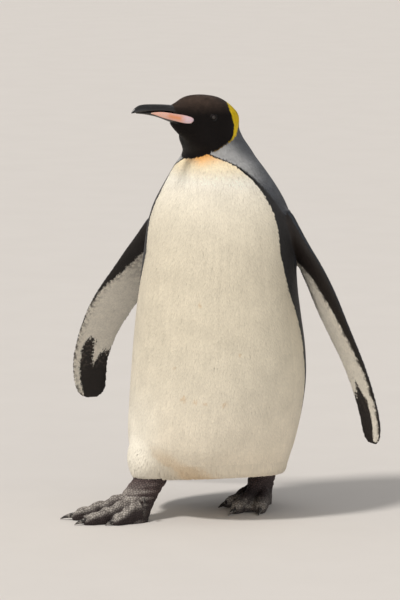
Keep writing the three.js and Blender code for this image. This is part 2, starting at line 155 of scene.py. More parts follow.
LEGS = {
    "right": {
        "side": -1,
        "heel": [-86, -137, 0],
        "turn": 52,
        "hem": [-96, -102, 76],
        "thigh": [-82, -44, 190],
        "toes": toes([14, 98, 13, 0.8, 18], [0, 150, 13, 0.95, 24], [-22, 172, 13, 1.1, 29]),
    },
    "left": {
        "side": 1,
        "heel": [59, 133, 0],
        "turn": 6,
        "hem": [62, 108, 72],
        "thigh": [78, 34, 184],
        "toes": toes([25, 124, 12, 0.86, 22], [0, 176, 13, 1, 31], [-19, 155, 12, 0.92, 25]),
    },
}
# Share of the way down the feathered leg, then half widths along the foot and across it.
THIGH = [[0, 34, 34], [0.2, 54, 52], [0.5, 62, 57], [0.75, 56, 48], [0.92, 44, 33], [1, 38, 26]]
# Share of the shank's height, how far ahead of the heel, and half its size along and across.
SHANK = [
    [-0.06, 36, 32, 22], [0.12, 37, 34, 23], [0.35, 34, 36, 22], [0.65, 25, 37, 23], [1, 7, 35, 25],
]
# Share of a toe's length, then the instep's height.
INSTEP = [[0, 50], [0.28, 47], [0.45, 39], [0.6, 32.5], [0.75, 26], [0.9, 20.5], [1, 16]]
TOE_ROOT = 22
SOLE_SINK = 0.16
WEB_BOTTOM, WEB_TOP, WEB_REACH, WEB_HOLLOW = 2, 9, 0.84, 0.74
WEB_HIGH = 38  # where it leaves the instep
CLAW_BASE, CLAW_TIP, CLAW_ABOVE = 5.6, 1, 0.6
HIND_CLAW = {"forward": 16, "across": 16, "up": 47, "length": 13, "radius": 3.4, "lean": 6}

UP = np.array([0.0, 0.0, 1.0])
FRONT = np.array([0.0, -1.0, 0.0])
ACROSS = np.array([1.0, 0.0, 0.0])


def unit(vectors):
    return vectors / np.maximum(np.linalg.norm(vectors, axis=-1, keepdims=True), 1e-12)


def turned(vector, degrees):
    """A vector turned anticlockwise about Z."""
    c, s = math.cos(math.radians(degrees)), math.sin(math.radians(degrees))
    return np.array([c * vector[0] - s * vector[1], s * vector[0] + c * vector[1], vector[2]])


def ramp(value, low, high):
    """0 below low, 1 above high, and smooth between; low may be the greater one."""
    share = np.clip((value - low) / (high - low), 0, 1)
    return share * share * (3 - 2 * share)


def lerp(a, b, share):
    return a + (b - a) * share


def through(rows, t):
    """Smooth cubic through rows of [t, value, value, ...]: the values at each t."""
    rows = np.asarray(rows, float)
    t = np.clip(np.asarray(t, float), rows[0, 0], rows[-1, 0])
    i = np.searchsorted(rows[1:-1, 0], t, side="left")
    a, b = rows[i], rows[i + 1]
    before, after = rows[np.maximum(i - 1, 0)], rows[np.minimum(i + 2, len(rows) - 1)]
    span = b[..., :1] - a[..., :1]
    q = (t[..., None] - a[..., :1]) / span
    slope_a = span * (b - before) / (b[..., :1] - before[..., :1])
    slope_b = span * (after - a) / (after[..., :1] - a[..., :1])
    ends = (2 * q**3 - 3 * q**2 + 1) * a + (3 * q**2 - 2 * q**3) * b
    return (ends + (q**3 - 2 * q**2 + q) * slope_a + (q**3 - q**2) * slope_b)[..., 1:]


def round_angles(sides):
    return np.linspace(0, 2 * np.pi, sides, endpoint=False)


def oval_rings(middles, a, b, sides):
    """Oval rings round points, from each one's two half axes."""
    angle = round_angles(sides)[:, None]
    return middles[:, None] + a[:, None] * np.cos(angle) + b[:, None] * np.sin(angle)


# ---------------------------------------------------------------- body, head and bill

head_forward = turned(FRONT, -HEAD_TURN)
head_left = turned(head_forward, 90)


def body_rings(heights, grow, sides=120):
    z, angle = np.meshgrid(heights, round_angles(sides), indexing="ij")
    x, y, wide, front, back, turn = np.moveaxis(through(BODY, z), -1, 0)
    rise = np.clip((z - BODY[0][0] + grow) / HEM_ROUND, 0, 1)
    tuck = (1 - (1 - rise) ** HEM_POWER) ** (1 / HEM_POWER)
    depth = np.where(np.sin(angle) < 0, front, back)
    across = np.maximum(wide * tuck + grow, 1) * np.cos(angle)
    along = np.maximum(depth * tuck + grow, 1) * np.sin(angle)
    c, s = np.cos(np.radians(turn)), np.sin(np.radians(turn))
    return np.stack([x + c * across + s * along, y - s * across + c * along, z], axis=-1)


def body_angle(points):
    """Degrees round the body from the middle of its front, positive towards its left."""
    x, y, wide, front, back, turn = through(BODY, points[:, 2]).T
    c, s = np.cos(np.radians(turn)), np.sin(np.radians(turn))
    dx, dy = points[:, 0] - x, points[:, 1] - y
    across, along = c * dx - s * dy, s * dx + c * dy
    return np.degrees(np.arctan2(across / wide, -along / np.where(along < 0, front, back)))


def head_point(forward, left, up):
    parts = [np.asarray(v, float)[..., None] for v in (forward, left, up)]
    return HEAD_AT + parts[0] * head_forward + parts[1] * head_left + parts[2] * UP


def head_place(points):
    """Forward of the eyes, to the bird's left and up from them."""
    away = points - HEAD_AT
    return away @ head_forward, away @ head_left, away[..., 2]


def head_rings(forward, top, middle, bottom, wide, sides):
    angle = round_angles(sides)
    rise = np.where(np.sin(angle) > 0, (top - middle)[:, None], (middle - bottom)[:, None])
    height = middle[:, None] + rise * np.sin(angle)
    return head_point(forward[:, None] + 0 * height, wide[:, None] * np.cos(angle), height)


# ---------------------------------------------------------------- flippers

STATIONS = 161


def evenly_along(line, count):
    """Places evenly spread along the centripetal curve through a line's points."""
    line = np.array(line, float)
    knots = np.concatenate([[2 * line[0] - line[1]], line, [2 * line[-1] - line[-2]]])
    dense = []
    q = np.linspace(0, 1, 60)[:, None]
    for p0, p1, p2, p3 in zip(knots, knots[1:], knots[2:], knots[3:]):
        d0, d1, d2 = (math.sqrt(math.dist(a, b)) for a, b in ((p0, p1), (p1, p2), (p2, p3)))
        t1 = ((p1 - p0) / d0 - (p2 - p0) / (d0 + d1) + (p2 - p1) / d1) * d1
        t2 = ((p2 - p1) / d1 - (p3 - p1) / (d1 + d2) + (p3 - p2) / d2) * d1
        bend, twist = 3 * (p2 - p1) - 2 * t1 - t2, 2 * (p1 - p2) + t1 + t2
        dense.append(p1 + t1 * q + bend * q**2 + twist * q**3)
    dense = np.concatenate(dense)
    steps = np.linalg.norm(np.diff(dense, axis=0), axis=1)
    travelled = np.concatenate([[0], np.cumsum(steps)])
    wanted = np.linspace(0, travelled[-1], count)
    return np.stack([np.interp(wanted, travelled, dense[:, k]) for k in range(3)], axis=1)


class Flipper:
    """A flipper's middle line, with the directions of its leading edge and outer face."""

    def __init__(self, side, spread, line):
        self.share = np.linspace(0, 1, STATIONS)
        self.middle = evenly_along(line, STATIONS)
        self.along = unit(np.gradient(self.middle, axis=0))
        ahead = turned(FRONT, side * spread)
        self.lead = unit(ahead - self.along * (self.along @ ahead)[:, None])
        self.outer = np.cross(self.lead, self.along) * side
        self.chord, self.thick = through(FLIPPER, self.share).T

    def rings(self, shrink, every=3, sides=40):
        angle = round_angles(sides)
        chord = np.maximum(self.chord - shrink * 0.3, 1)[::every, None] * np.cos(angle)
        thin = np.maximum(self.thick - shrink, 2)[::every, None]
        out = thin * np.sin(angle) * (1 - REAR_THIN * (1 - np.cos(angle)))
        least = EDGE_THICK * np.abs(np.sin(angle)) ** 0.25
        out = np.sign(np.sin(angle)) * np.maximum(np.abs(out), least)
        lead, outer = self.lead[::every, None], self.outer[::every, None]
        return self.middle[::every, None] + chord[..., None] * lead + out[..., None] * outer

    def place(self, points):
        """The nearest station, then how far towards the leading edge and the outer face."""
        apart = ((points[:, None] - self.middle[None, ::2]) ** 2).sum(axis=2)
        station = apart.argmin(axis=1) * 2
        away = points - self.middle[station]
        chord = (away * self.lead[station]).sum(axis=1) / self.chord[station]
        return station, chord, (away * self.outer[station]).sum(axis=1)


flippers = {name: Flipper(**shape) for name, shape in FLIPPERS.items()}

# ---------------------------------------------------------------- tail, legs and feet

tail_along = unit(TAIL_TIP - TAIL_ROOT)
tail_out = unit(np.cross(ACROSS, tail_along))


def tail_rings(shares, shrink, sides=40):
    wide = through(TAIL_WIDE, shares) - shrink
    thick = through(TAIL_THICK, shares) - shrink
    middles = lerp(TAIL_ROOT, TAIL_TIP, shares[:, None])
    return oval_rings(middles, wide * ACROSS, thick * tail_out, sides)


TAIL_CORE = (0.34, 0.78)  # shares of the tail's length over which its flesh rounds off


def tail_core(depth):
    """The tail's flesh, which ends inside its feathers."""
    start, end = TAIL_CORE
    closing = end - (end - start) * np.linspace(1, 0, 26) ** 2
    shares = np.concatenate([np.linspace(0, start, 12)[:-1], closing])
    rings = tail_rings(shares, depth)
    middles = rings.mean(axis=1, keepdims=True)
    left = np.clip((shares - start) / (end - start), 0, 1)
    return middles + (rings - middles) * np.sqrt(1.0004 - left**2)[:, None, None]


def foot_direction(leg, angle):
    return turned(FRONT, -leg["turn"] - leg["side"] * angle)


def foot_point(leg, angle, reach, up):
    reach, up = np.asarray(reach, float)[..., None], np.asarray(up, float)[..., None]
    return np.array(leg["heel"], float) + reach * foot_direction(leg, angle) + up * UP


def thigh_rings(leg, shrink):
    shares = np.linspace(0, 1, 30)
    half = through(THIGH, shares) - shrink
    middles = lerp(np.array(leg["thigh"], float), np.array(leg["hem"], float), shares[:, None])
    ahead, inward = foot_direction(leg, 0), foot_direction(leg, 90)
    return oval_rings(middles, half[:, :1] * ahead, half[:, 1:] * inward, 48)


SHANK_HIDDEN = 1.3  # share of its height, so that the shank's top is inside the leg
ANKLE_FOLDS = 0.8  # height of the skin folds round the shank
FOLD_WAVES = 38  # radians of them up the shank


def shank_rings(leg):
    ahead, inward = foot_direction(leg, 0), foot_direction(leg, 90)
    heel, hem = np.array(leg["heel"], float), np.array(leg["hem"], float)
    top = hem - SHANK[-1][1] * ahead
    shares = np.linspace(SHANK[0][0], SHANK_HIDDEN, 50)
    forward, long, wide = through(SHANK, shares).T
    fold = ANKLE_FOLDS * np.sin(shares * FOLD_WAVES) * ramp(shares, 0.3, 0.6)
    middles = lerp(heel, top, np.clip(shares, 0, None)[:, None]) + forward[:, None] * ahead
    middles[:, 2] = shares * top[2]
    return oval_rings(middles, (long + fold)[:, None] * ahead, (wide + fold)[:, None] * inward, 60)


TOE_JOINTS = {"inner": 3, "middle": 4, "outer": 4}  # swellings along each toe
TOE_SWELL = 0.055
TOE_BLUNT = 0.84  # share of a toe's length where its end starts to round off
TOE_PAST = 1.008  # where it would close, past the claw's root


def toe_rings(leg, name):
    toe = leg["toes"][name]
    across = foot_direction(leg, toe["angle"] + 90)
    bare = toe["length"] - toe["claw"] * 0.8
    rounding = 1 - 0.16 * np.linspace(1, 0, 24)[1:] ** 2
    shares = np.concatenate([np.linspace(0, TOE_BLUNT, 60), rounding])
    ending = np.maximum(shares - TOE_BLUNT, 0) / (TOE_PAST - TOE_BLUNT)
    blunt = np.sqrt(1 - ending**2)
    joints = np.cos(2 * np.pi * (shares * TOE_JOINTS[name] + 0.5))
    swell = 1 + TOE_SWELL * joints * ramp(shares, 0.2, 0.45)
    high = through(INSTEP, shares)[:, 0] * toe["high"] * (0.35 + 0.65 * blunt) * swell
    wide = toe["wide"] * (0.3 + 0.7 * blunt) * swell
    middle, half = high * (1 - SOLE_SINK) / 2, high * (1 + SOLE_SINK) / 2
    middles = foot_point(leg, toe["angle"], lerp(TOE_ROOT, bare, shares), middle)
    return oval_rings(middles, wide[:, None] * across, half[:, None] * UP, 40)


def web_block(leg, name, other_name):
    """The web between two toes, hollowed at its front edge, as points and faces."""
    toe, other = leg["toes"][name], leg["toes"][other_name]
    middle = (toe["angle"] + other["angle"]) / 2
    start, end = (foot_point(leg, t["angle"], t["length"] * WEB_REACH, 0) for t in (toe, other))
    hollow = foot_point(leg, middle, min(toe["length"], other["length"]) * WEB_HOLLOW, 0)
    q = np.linspace(0, 1, 16)[:, None]
    edge = (1 - q) ** 2 * start + 2 * q * (1 - q) * hollow + q**2 * end
    outline = np.concatenate([foot_point(leg, middle, TOE_ROOT, 0)[None], edge])
    count = len(outline)
    ring = np.arange(count)
    after = (ring + 1) % count
    fan = np.stack([0 * ring[1:-1], ring[1:-1], ring[2:]], axis=1)
    sides = np.stack([ring, after, after + count, ring + count], axis=1)
    top = np.array([[WEB_HIGH]] + [[WEB_TOP]] * (count - 1))
    points = np.concatenate([outline + WEB_BOTTOM * UP, outline + top * UP])
    return points, [np.concatenate([fan, fan + count]), sides]


# ---------------------------------------------------------------- meshes

eye_low, eye_high = (np.array(corner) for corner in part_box("eye_left"))
SHIFT = (eye_low + eye_high) / 2 - head_point(*EYE_PLACE) / 1000  # the solids' origin, in the frame


def to_frame(points):
    return points / 1000 + SHIFT


def loft(rings):
    """Points and faces through rings of equally many points, closed and facing outwards."""
    m, n = rings.shape[:2]
    points = np.concatenate([rings.reshape(-1, 3), rings[[0, -1]].mean(axis=1)])
    low = np.arange((m - 1) * n).reshape(m - 1, n)
    right = np.roll(low, -1, axis=1)
    quads = np.stack([low, right, right + n, low + n], axis=-1).reshape(-1, 4)
    j = np.arange(n)
    k = (j + 1) % n
    end = (m - 1) * n
    first = np.stack([np.full(n, m * n), k, j], axis=1)
    last = np.stack([np.full(n, m * n + 1), end + j, end + k], axis=1)
    a, b, c, d = (points[quads[:, i]] for i in range(4))
    middle = points.mean(axis=0)
    outward = ((a + c - 2 * middle) * np.cross(c - a, d - b)).sum()
    blocks = [quads, np.concatenate([first, last])]
    return points, blocks if outward > 0 else [block[:, ::-1] for block in blocks]


def merged(solids):
    """Several (points, face blocks) as one."""
    points, quads, triangles, start = [], [], [], 0
    for some, blocks in solids:
        points.append(some)
        for block in blocks:
            (quads if block.shape[1] == 4 else triangles).append(block + start)
        start += len(some)
    blocks = [np.concatenate(group) for group in (quads, triangles) if group]
    return np.concatenate(points), blocks


def build(name, points, blocks, smooth=True):
    """A new object from points in millimetres and arrays of faces."""
    mesh = bpy.data.meshes.new(name)
    corners = np.concatenate([block.ravel() for block in blocks])
    sizes = np.concatenate([np.full(len(block), block.shape[1]) for block in blocks])
    mesh.vertices.add(len(points))
    mesh.vertices.foreach_set("co", to_frame(points).astype(np.float32).ravel())
    mesh.loops.add(len(corners))
    mesh.loops.foreach_set("vertex_index", corners.astype(np.int32))
    mesh.polygons.add(len(sizes))
    mesh.polygons.foreach_set("loop_start", (np.cumsum(sizes) - sizes).astype(np.int32))
    mesh.polygons.foreach_set("use_smooth", np.full(len(sizes), smooth))
    mesh.update(calc_edges=True)
    made = bpy.data.objects.new(name, mesh)
    bpy.context.scene.collection.objects.link(made)
    return made


def paint(made, colours):
    """Gives each vertex its marking."""
    rgba = np.concatenate([colours, np.ones((len(colours), 1))], axis=1)
    layer = made.data.color_attributes.new("Markings", "FLOAT_COLOR", "POINT")
    layer.data.foreach_set("color", rgba.astype(np.float32).ravel())


def add_map(made, name, places):
    """A UV map from one place for each vertex."""
    corners = np.zeros(len(made.data.loops), np.int32)
    made.data.loops.foreach_get("vertex_index", corners)
    layer = made.data.uv_layers.new(name=name)
    layer.data.foreach_set("uv", places[corners].astype(np.float32).ravel())


def as_piece(made, material, slot, *nodes):
    made.data.materials.append(material)
    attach(made, BODY_NAME)
    if nodes:
        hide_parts(*nodes)
    return made


def remeshed(solids, voxel):
    """One even surface of quads round overlapping closed solids."""
    source = build("flesh", *merged(solids))
    modifier = source.modifiers.new("join", "REMESH")
    modifier.mode = "VOXEL"
    modifier.voxel_size = voxel / 1000
    depsgraph = bpy.context.evaluated_depsgraph_get()
    mesh = source.evaluated_get(depsgraph).data
    points = np.zeros(len(mesh.vertices) * 3, np.float32)
    mesh.vertices.foreach_get("co", points)
    corners = np.zeros(len(mesh.loops), np.int32)
    mesh.loops.foreach_get("vertex_index", corners)
    bpy.data.objects.remove(source)
    return (points.reshape(-1, 3).astype(float) - SHIFT) * 1000, corners.reshape(-1, 4)


def edges_of(quads):
    pairs = np.concatenate([quads[:, [k, (k + 1) % 4]] for k in range(4)])
    return np.unique(np.sort(pairs, axis=1), axis=0)


def eased(values, edges, rounds, weight=0.5):
    """Values evened out over a surface, by its edges."""
    count = len(values)
    degree = np.bincount(edges.ravel(), minlength=count)[:, None]
    one, other = edges.T

    def around(column):
        return np.bincount(one, column[other], count) + np.bincount(other, column[one], count)

    for _ in range(rounds):
        total = np.stack([around(column) for column in values.T], axis=1)
        values = values + weight * (total / degree - values)
    return values


def normals_of(points, quads):
    a, b, c, d = (points[quads[:, corner]] for corner in range(4))
    across = np.cross(c - a, d - b)

    def summed(values):
        return sum(np.bincount(quads[:, corner], values, len(points)) for corner in range(4))

    return unit(np.stack([summed(column) for column in across.T], axis=1))


CROWDING = 5  # candidates for each place that is kept
PACKING = 0.7  # how densely places fill a surface, beside one for each spacing squared


def scatter(points, quads, spacing, rng):
    """Places on a surface, each at least its spacing from the others: corners and weights."""
    corners = np.concatenate([quads[:, [0, 1, 2]], quads[:, [0, 2, 3]]])
    a, b, c = (points[corners[:, k]] for k in range(3))
    area = np.linalg.norm(np.cross(b - a, c - a), axis=1) / 2
    gap = spacing[corners].mean(axis=1)
    wanted = PACKING * area / gap**2
    count = int(CROWDING * wanted.sum())
    pick = rng.choice(len(corners), count, p=wanted / wanted.sum())
    share = rng.random((count, 2))
    share = np.where(share.sum(axis=1, keepdims=True) > 1, 1 - share, share)
    weights = np.stack([1 - share.sum(axis=1), share[:, 0], share[:, 1]], axis=1)
    places = (points[corners[pick]] * weights[..., None]).sum(axis=1)
    tree = KDTree(count)
    for i, place in enumerate(places.tolist()):
        tree.insert(place, i)
    tree.balance()
    taken = np.zeros(count, bool)
    chosen = []
    reach = gap[pick]
    for i, place in enumerate(places.tolist()):
        if not taken[i]:
            chosen.append(i)
            for _, near, _ in tree.find_range(place, reach[i]):
                taken[near] = True
    return corners[pick[chosen]], weights[chosen]


def waviness(points, size, offset=0.0):
    """Smooth noise from about -1 to 1, whose swells are about size across."""
    scaled = points / size + offset
    return np.array([noise.noise(place) for place in scaled.tolist()])


# ---------------------------------------------------------------- markings

def tint(red, green, blue):
    """A display colour as the light it stands for."""
    share = np.array([red, green, blue]) / 255
    return np.where(share < 0.04045, share / 12.92, ((share + 0.055) / 1.055) ** 2.4)


WHITE = tint(250, 243, 226)
CREAM = tint(238, 227, 206)
YELLOW = tint(250, 218, 150)
ORANGE = tint(248, 176, 84)
TAN_AND_SHADE = tint(206, 166, 108)
STAIN = tint(196, 148, 84)
BLACK = tint(26, 23, 23)
SLATE = tint(72, 76, 84)
SILVER = tint(176, 176, 176)
HOOD = tint(17, 11, 9)
CROWN_SHEEN = tint(74, 60, 52)
PATCH = tint(232, 198, 26)
PATCH_PALE = tint(240, 224, 150)
PATCH_EDGE = tint(120, 94, 44)
FLIPPER_WHITE = tint(240, 233, 218)
MOTTLE = tint(112, 100, 88)
TIP_BLACK = tint(36, 29, 25)
TAIL_DARK = tint(34, 32, 33)

# Height, then the middle of the white front, half its width and the width of the black band
# along it, all in degrees round the body.
BORDER = [
    [60, 3, 106, 0], [150, 3, 102, 1], [210, 3, 96, 3], [255, 4, 91, 5], [300, 4, 88, 8],
    [366, 4, 85, 12], [405, 4, 80, 15], [445, 4, 73, 19], [504, 4, 65, 21], [538, 2, 65, 19],
    [570, 0, 66, 14], [594, 0, 65, 11], [627, 0.5, 63.5, 6], [654, 1, 62, 4], [664, 1.5, 60, 4],
    [673, 3, 56, 4], [681, 8, 47, 4], [689, 10, 37, 4], [699, 8, 25, 4], [708, 8, 12, 4],
]
# Height from the eyes, then how far forward the rear edge of the hood is.
HOOD_EDGE = [
    [-94, 60], [-88, 42], [-80, 29], [-69, 14], [-56, -6], [-45, -27], [-35, -39], [-16, -41],
    [4, -35], [20, -34], [34, -38], [50, -46],
]
# Height from the eyes, then how wide the yellow patch behind the hood is.
PATCH_WIDE = [
    [-66, 0], [-60, 3], [-52, 3.5], [-40, 7], [-24, 14], [-5, 22], [8, 24], [20, 19], [30, 8],
    [38, -4],
]
NAPE_STRIP = 11  # half the width of the dark strip between the two patches
HOOD_LOW = -96  # no hood below this height
HOOD_REACH = 128  # or further than this from the middle of the head

# Brown stains on the belly: degrees round the body, height, and radius.
STAINS = [(-6, 243, 6), (2, 238, 5), (9, 236, 4), (22, 236, 6), (-14, 300, 4), (30, 330, 4), (3, 420, 4)]
# Where the lower belly is tan, partly soil and partly painted shade of the fold where it hangs over the legs:
# height, the middle and half the width in degrees, and the strength.
SOIL_AND_FOLD_SHADE = [
    [60, 31, 44, 0.9], [78, 27, 40, 0.85], [92, 12, 25, 0.6], [106, -2, 18, 0.4],
    [125, -15, 14, 0.3], [150, -24, 10, 0],
]
# Height, then how bright the white front is painted there: painted light on the breast, which faces up into
# the light, and painted shade down the belly, which curves away from it.
PAINTED_FRONT_SHADING = [[60, 0.93], [120, 0.95], [180, 0.92], [310, 0.76], [450, 0.72], [560, 0.78], [620, 0.9], [645, 1.04]]
# Deeper painted shade is also painted warmer.
SHADING_WARMTH = np.array([0.94, 1.08, 1.36])  # how much of that each colour takes


def blend(colours, colour, share):
    share = np.asarray(share, float)[..., None]
    return colours * (1 - share) + colour * share


def varied(points, amount, size):
    """How bright each place is, beside its colour: swells about size across."""
    return (1 + amount * waviness(points, size))[:, None]


def body_markings(points, rough):
    """Colours of the trunk, neck and legs. rough staggers edges by feathers, in degrees."""
    angle, z = body_angle(points), points[:, 2]
    middle, half, band = through(BORDER, z).T
    round_front = np.abs(angle - middle)
    beyond = round_front - half + rough
    front = blend(CREAM, WHITE, ramp(z, 110, 330))
    streaks = waviness(np.stack([angle * 2.4, 0 * z, z / 12], axis=1), 7)
    # Whiter low on the bird's right side: painted light on the bulge over its right leg.
    front = blend(front, WHITE, ramp(angle, -12, -40) * ramp(z, 330, 200))
    # Painted light and shade by height over the white front, with streaks and random tone on top.
    front *= through(PAINTED_FRONT_SHADING, z) ** SHADING_WARMTH * (1 + 0.05 * streaks + 0.08 * waviness(points, 30))[:, None]
    # A tan crescent low on the belly: partly soil, partly painted shade where the belly hangs over the legs.
    soil_shade_at, soil_shade_half, soil_shade_share = through(SOIL_AND_FOLD_SHADE, z).T
    apart = np.abs(angle - soil_shade_at + 2 * waviness(points, 8)) / soil_shade_half
    front = blend(front, TAN_AND_SHADE, 0.85 * soil_shade_share * ramp(apart, 1, np.where(angle < soil_shade_at, 0.6, 0)))
    for stain_angle, stain_z, radius in STAINS:
        apart = np.hypot((angle - stain_angle) * 2.4, z - stain_z) / radius
        front = blend(front, STAIN, 0.34 * ramp(apart + 0.5 * waviness(points, 5), 1.1, 0.2))
    front = blend(front, YELLOW, 0.5 * ramp(z, 646, 684))
    front = blend(front, ORANGE, 0.9 * ramp(z - 0.35 * round_front, 668, 697))
    shoulder = ramp(z, 440, 520) * ramp(z, 650, 600) * ramp(round_front, 125, 95)
    back = blend(SLATE, BLACK, 0.55 * shoulder)
    collar = ramp(z, 632, 678) * ramp(round_front, 104, 60)
    back = blend(back, SILVER, collar)
    back = blend(back, SILVER, 0.2 * ramp(z, 600, 700) * ramp(round_front, 140, 90))
    back *= varied(points, 0.14, 9)
    edge_shade = ramp(beyond, band + 3.5, band - 0.5)
    back = blend(back, BLACK, edge_shade)
    return np.where((beyond > 0)[:, None], back, front)


def behind_hood(points):
    """How far places near the head are behind the hood's rear edge, and which are near it."""
    forward, _, up = head_place(points)
    near = (up > HOOD_LOW) & (np.linalg.norm(points - HEAD_AT, axis=1) < HOOD_REACH)
    return through(HOOD_EDGE, up)[:, 0] - forward, near


def head_markings(points, rough, colours):
    """Adds the black hood and the yellow patch behind it, both alike on the two sides."""
    _, left, up = head_place(points)
    behind, near = behind_hood(points)
    behind = behind + rough
    wide = through(PATCH_WIDE, up)[:, 0]
    strip = ramp(np.abs(left), NAPE_STRIP - 3, NAPE_STRIP + 3) > 0.5
    patch = near & (behind > 0) & (behind < wide) & strip
    yellow = blend(PATCH, PATCH_EDGE, ramp(up, -36, -52))
    yellow = blend(yellow, PATCH_PALE, 0.7 * ramp(up + 0.5 * behind, 18, 36))
    # The hood is lighter and browner towards the crown: a painted brownish sheen of the light from above.
    crown_sheen = ramp(up, 3, 36) * (0.8 + 0.4 * waviness(points, 15))
    hood = blend(HOOD, CROWN_SHEEN, np.clip(crown_sheen, 0, 1))
    hood *= varied(points, 0.22, 7)
    colours = np.where(patch[:, None], yellow, colours)
    return np.where((near & (behind <= 0))[:, None], hood, colours)


# Share of a flipper's length, then how far forward the white of its inner face reaches, from
# -1 at the rear edge to 1 at the leading edge.
INNER_WHITE = {
    "left": [
        [0, -1], [0.16, -0.6], [0.28, 0.05], [0.45, 0.48], [0.58, 0.7], [0.68, 0.8], [0.8, 0.86],
        [1, 0.88],
    ],
    "right": [[0, -0.4], [0.12, 0.1], [0.25, 0.44], [0.36, 0.74], [0.47, 0.9], [0.7, 0.95], [1, 0.92]],
}
# Place across a flipper, then the share of its length where the dark patch at its tip starts.
TIP_FROM = {
    "left": [[-1, 0.775], [-0.7, 0.79], [-0.5, 0.76], [-0.3, 0.73], [-0.1, 0.75], [0.1, 0.79], [1, 0.8]],
    "right": [
        [-1, 0.745], [-0.5, 0.765], [-0.34, 0.8], [-0.2, 0.83], [-0.1, 0.8], [0, 0.72], [0.4, 0.7],
        [0.6, 0.73],
    ],
}
TIP_STRIP = {"left": 0.3, "right": 0.6}  # forward of this, a pale strip runs on beside the tip patch


def flipper_markings(points, name, rough):
    station, chord, height = flippers[name].place(points)
    share = station / (STATIONS - 1)
    chord = chord + rough
    white_to = through(INNER_WHITE[name], share)[:, 0] + 0.05 * waviness(points, 16, 4.0)
    inner = FLIPPER_WHITE * varied(points, 0.08, 12)
    base_mottle = 0.55 * ramp(share, 0.42, 0.16) * ramp(waviness(points, 8), -0.25, 0.3)
    inner = blend(inner, MOTTLE, base_mottle)
    rear_mottle = ramp(share, 0.5, 0.2) * ramp(chord + 0.2 * waviness(points, 7), -0.62, -0.85)
    inner = blend(inner, TIP_BLACK, 0.75 * rear_mottle)
    edge_mottle = ramp(chord, white_to - 0.35, white_to) * ramp(waviness(points, 6, 9.0), -0.1, 0.35)
    inner = blend(inner, MOTTLE, 0.6 * edge_mottle)
    blots = ramp(chord, white_to - 0.24, white_to - 0.04) * ramp(waviness(points, 15, 2.0), 0.1, 0.4)
    inner = blend(inner, TIP_BLACK, 0.7 * blots)
    inner = blend(inner, TIP_BLACK, ramp(chord, white_to - 0.03, white_to + 0.03))
    start = through(TIP_FROM[name], chord)[:, 0] + 0.012 * waviness(points, 7)
    edge = TIP_STRIP[name] + 0.06 * waviness(points, 10)
    tip = ramp(share + 0.35 * rough, start - 0.006, start + 0.012)
    tip = tip * ramp(chord, edge + 0.05, edge - 0.05)
    dark = TIP_BLACK * varied(points, 0.3, 6)
    inner = blend(inner, dark, np.maximum(tip, ramp(share, 0.975, 0.985)))
    faded = ramp(share, 0.9, 0.8) * ramp(waviness(points, 5, 7.0), 0.1, 0.4)
    inner = blend(inner, MOTTLE, 0.4 * tip * faded)
    outer = SLATE * 0.62 * varied(points, 0.2, 10)
    trailing = ramp(chord, -0.84, -0.9) * ramp(share, 0.25, 0.35) * ramp(share, 0.74, 0.7)
    outer = blend(outer, FLIPPER_WHITE, trailing)
    return np.where((height > 0)[:, None], outer, inner)


def tail_share(points):
    return (points - TAIL_ROOT) @ tail_along / np.linalg.norm(TAIL_TIP - TAIL_ROOT)


def tail_markings(points):
    colours = blend(SLATE, TAIL_DARK, ramp(tail_share(points), 0.3, 0.62))
    return colours * varied(points, 0.15, 9)


# ---------------------------------------------------------------- the skin

SKIN_VOXEL, FOOT_VOXEL = 2.6, 1.1
PARTS = ["body", "head", "flipper_left", "flipper_right", "tail", "legs"]
HEM_RISE = np.array([0.09, -0.13])  # of the hem, for each step across and back
HEM_RISE_TOP = 150  # no rise above this height
# How far the skin lies inside the solids, which reach to the feathers' tips.
COAT_DEPTH = {"body": 3.0, "head": 1.8, "flipper": 0.8, "tail": 4.0, "legs": 3.0}


# The coat's depth at each place, then its feathers' length, width and spacing.
COAT = {
    "front": [3.0, 16, 4.3, 2.15],
    "back": [3.0, 13, 4.2, 2.3],
    "border": [3.0, 9, 2.8, 1.9],
    "neck": [2.6, 8.5, 2.9, 1.85],
    "throat": [2.0, 6, 2.3, 1.5],
    "crown": [1.8, 6.5, 2.1, 1.4],
    "face": [1.1, 3.6, 1.5, 1.05],
    "flipper": [0.8, 4.2, 2.4, 1.5],
    "rim": [0.8, 2.6, 2.0, 1.5],
    "tail": [4.0, 18, 4.6, 2.8],
    "legs": [3.0, 12, 3.3, 2.2],
}
COAT = {name: np.array(row) for name, row in COAT.items()}


def is_part(part, *names):
    """Which places belong to the named parts."""
    return np.isin(part, [PARTS.index(name) for name in names])


def hem_rise(points):
    """How much higher than its lowest place the hem is, up to the front and the left leg."""
    return np.maximum(points[..., :2] @ HEM_RISE, 0)


def flesh():
    """Closed solids of the flesh under the coat, each with its part."""
    depth = COAT_DEPTH["body"]
    low = BODY[0][0] + depth
    hem = low + HEM_ROUND * np.linspace(0, 1, 16)[1:] ** 1.6
    heights = np.concatenate([hem, np.arange(hem[-1] + 4, BODY_TOP, 4)])
    body = body_rings(heights, -depth)
    body[..., 2] += hem_rise(body) * ramp(body[..., 2], HEM_RISE_TOP, low)
    yield "body", loft(body)
    depth = COAT_DEPTH["head"]
    forward = np.linspace(HEAD[0][0] + depth, HEAD[-1][0] - depth, 70)
    top, bottom, wide, middle = through(HEAD, forward).T
    yield "head", loft(head_rings(forward, top - depth, middle, bottom + depth, wide - depth, 64))
    for name, flipper in flippers.items():
        yield f"flipper_{name}", loft(flipper.rings(COAT_DEPTH["flipper"]))
    yield "tail", loft(tail_core(COAT_DEPTH["tail"]))
    for leg in LEGS.values():
        yield "legs", loft(thigh_rings(leg, COAT_DEPTH["legs"]))


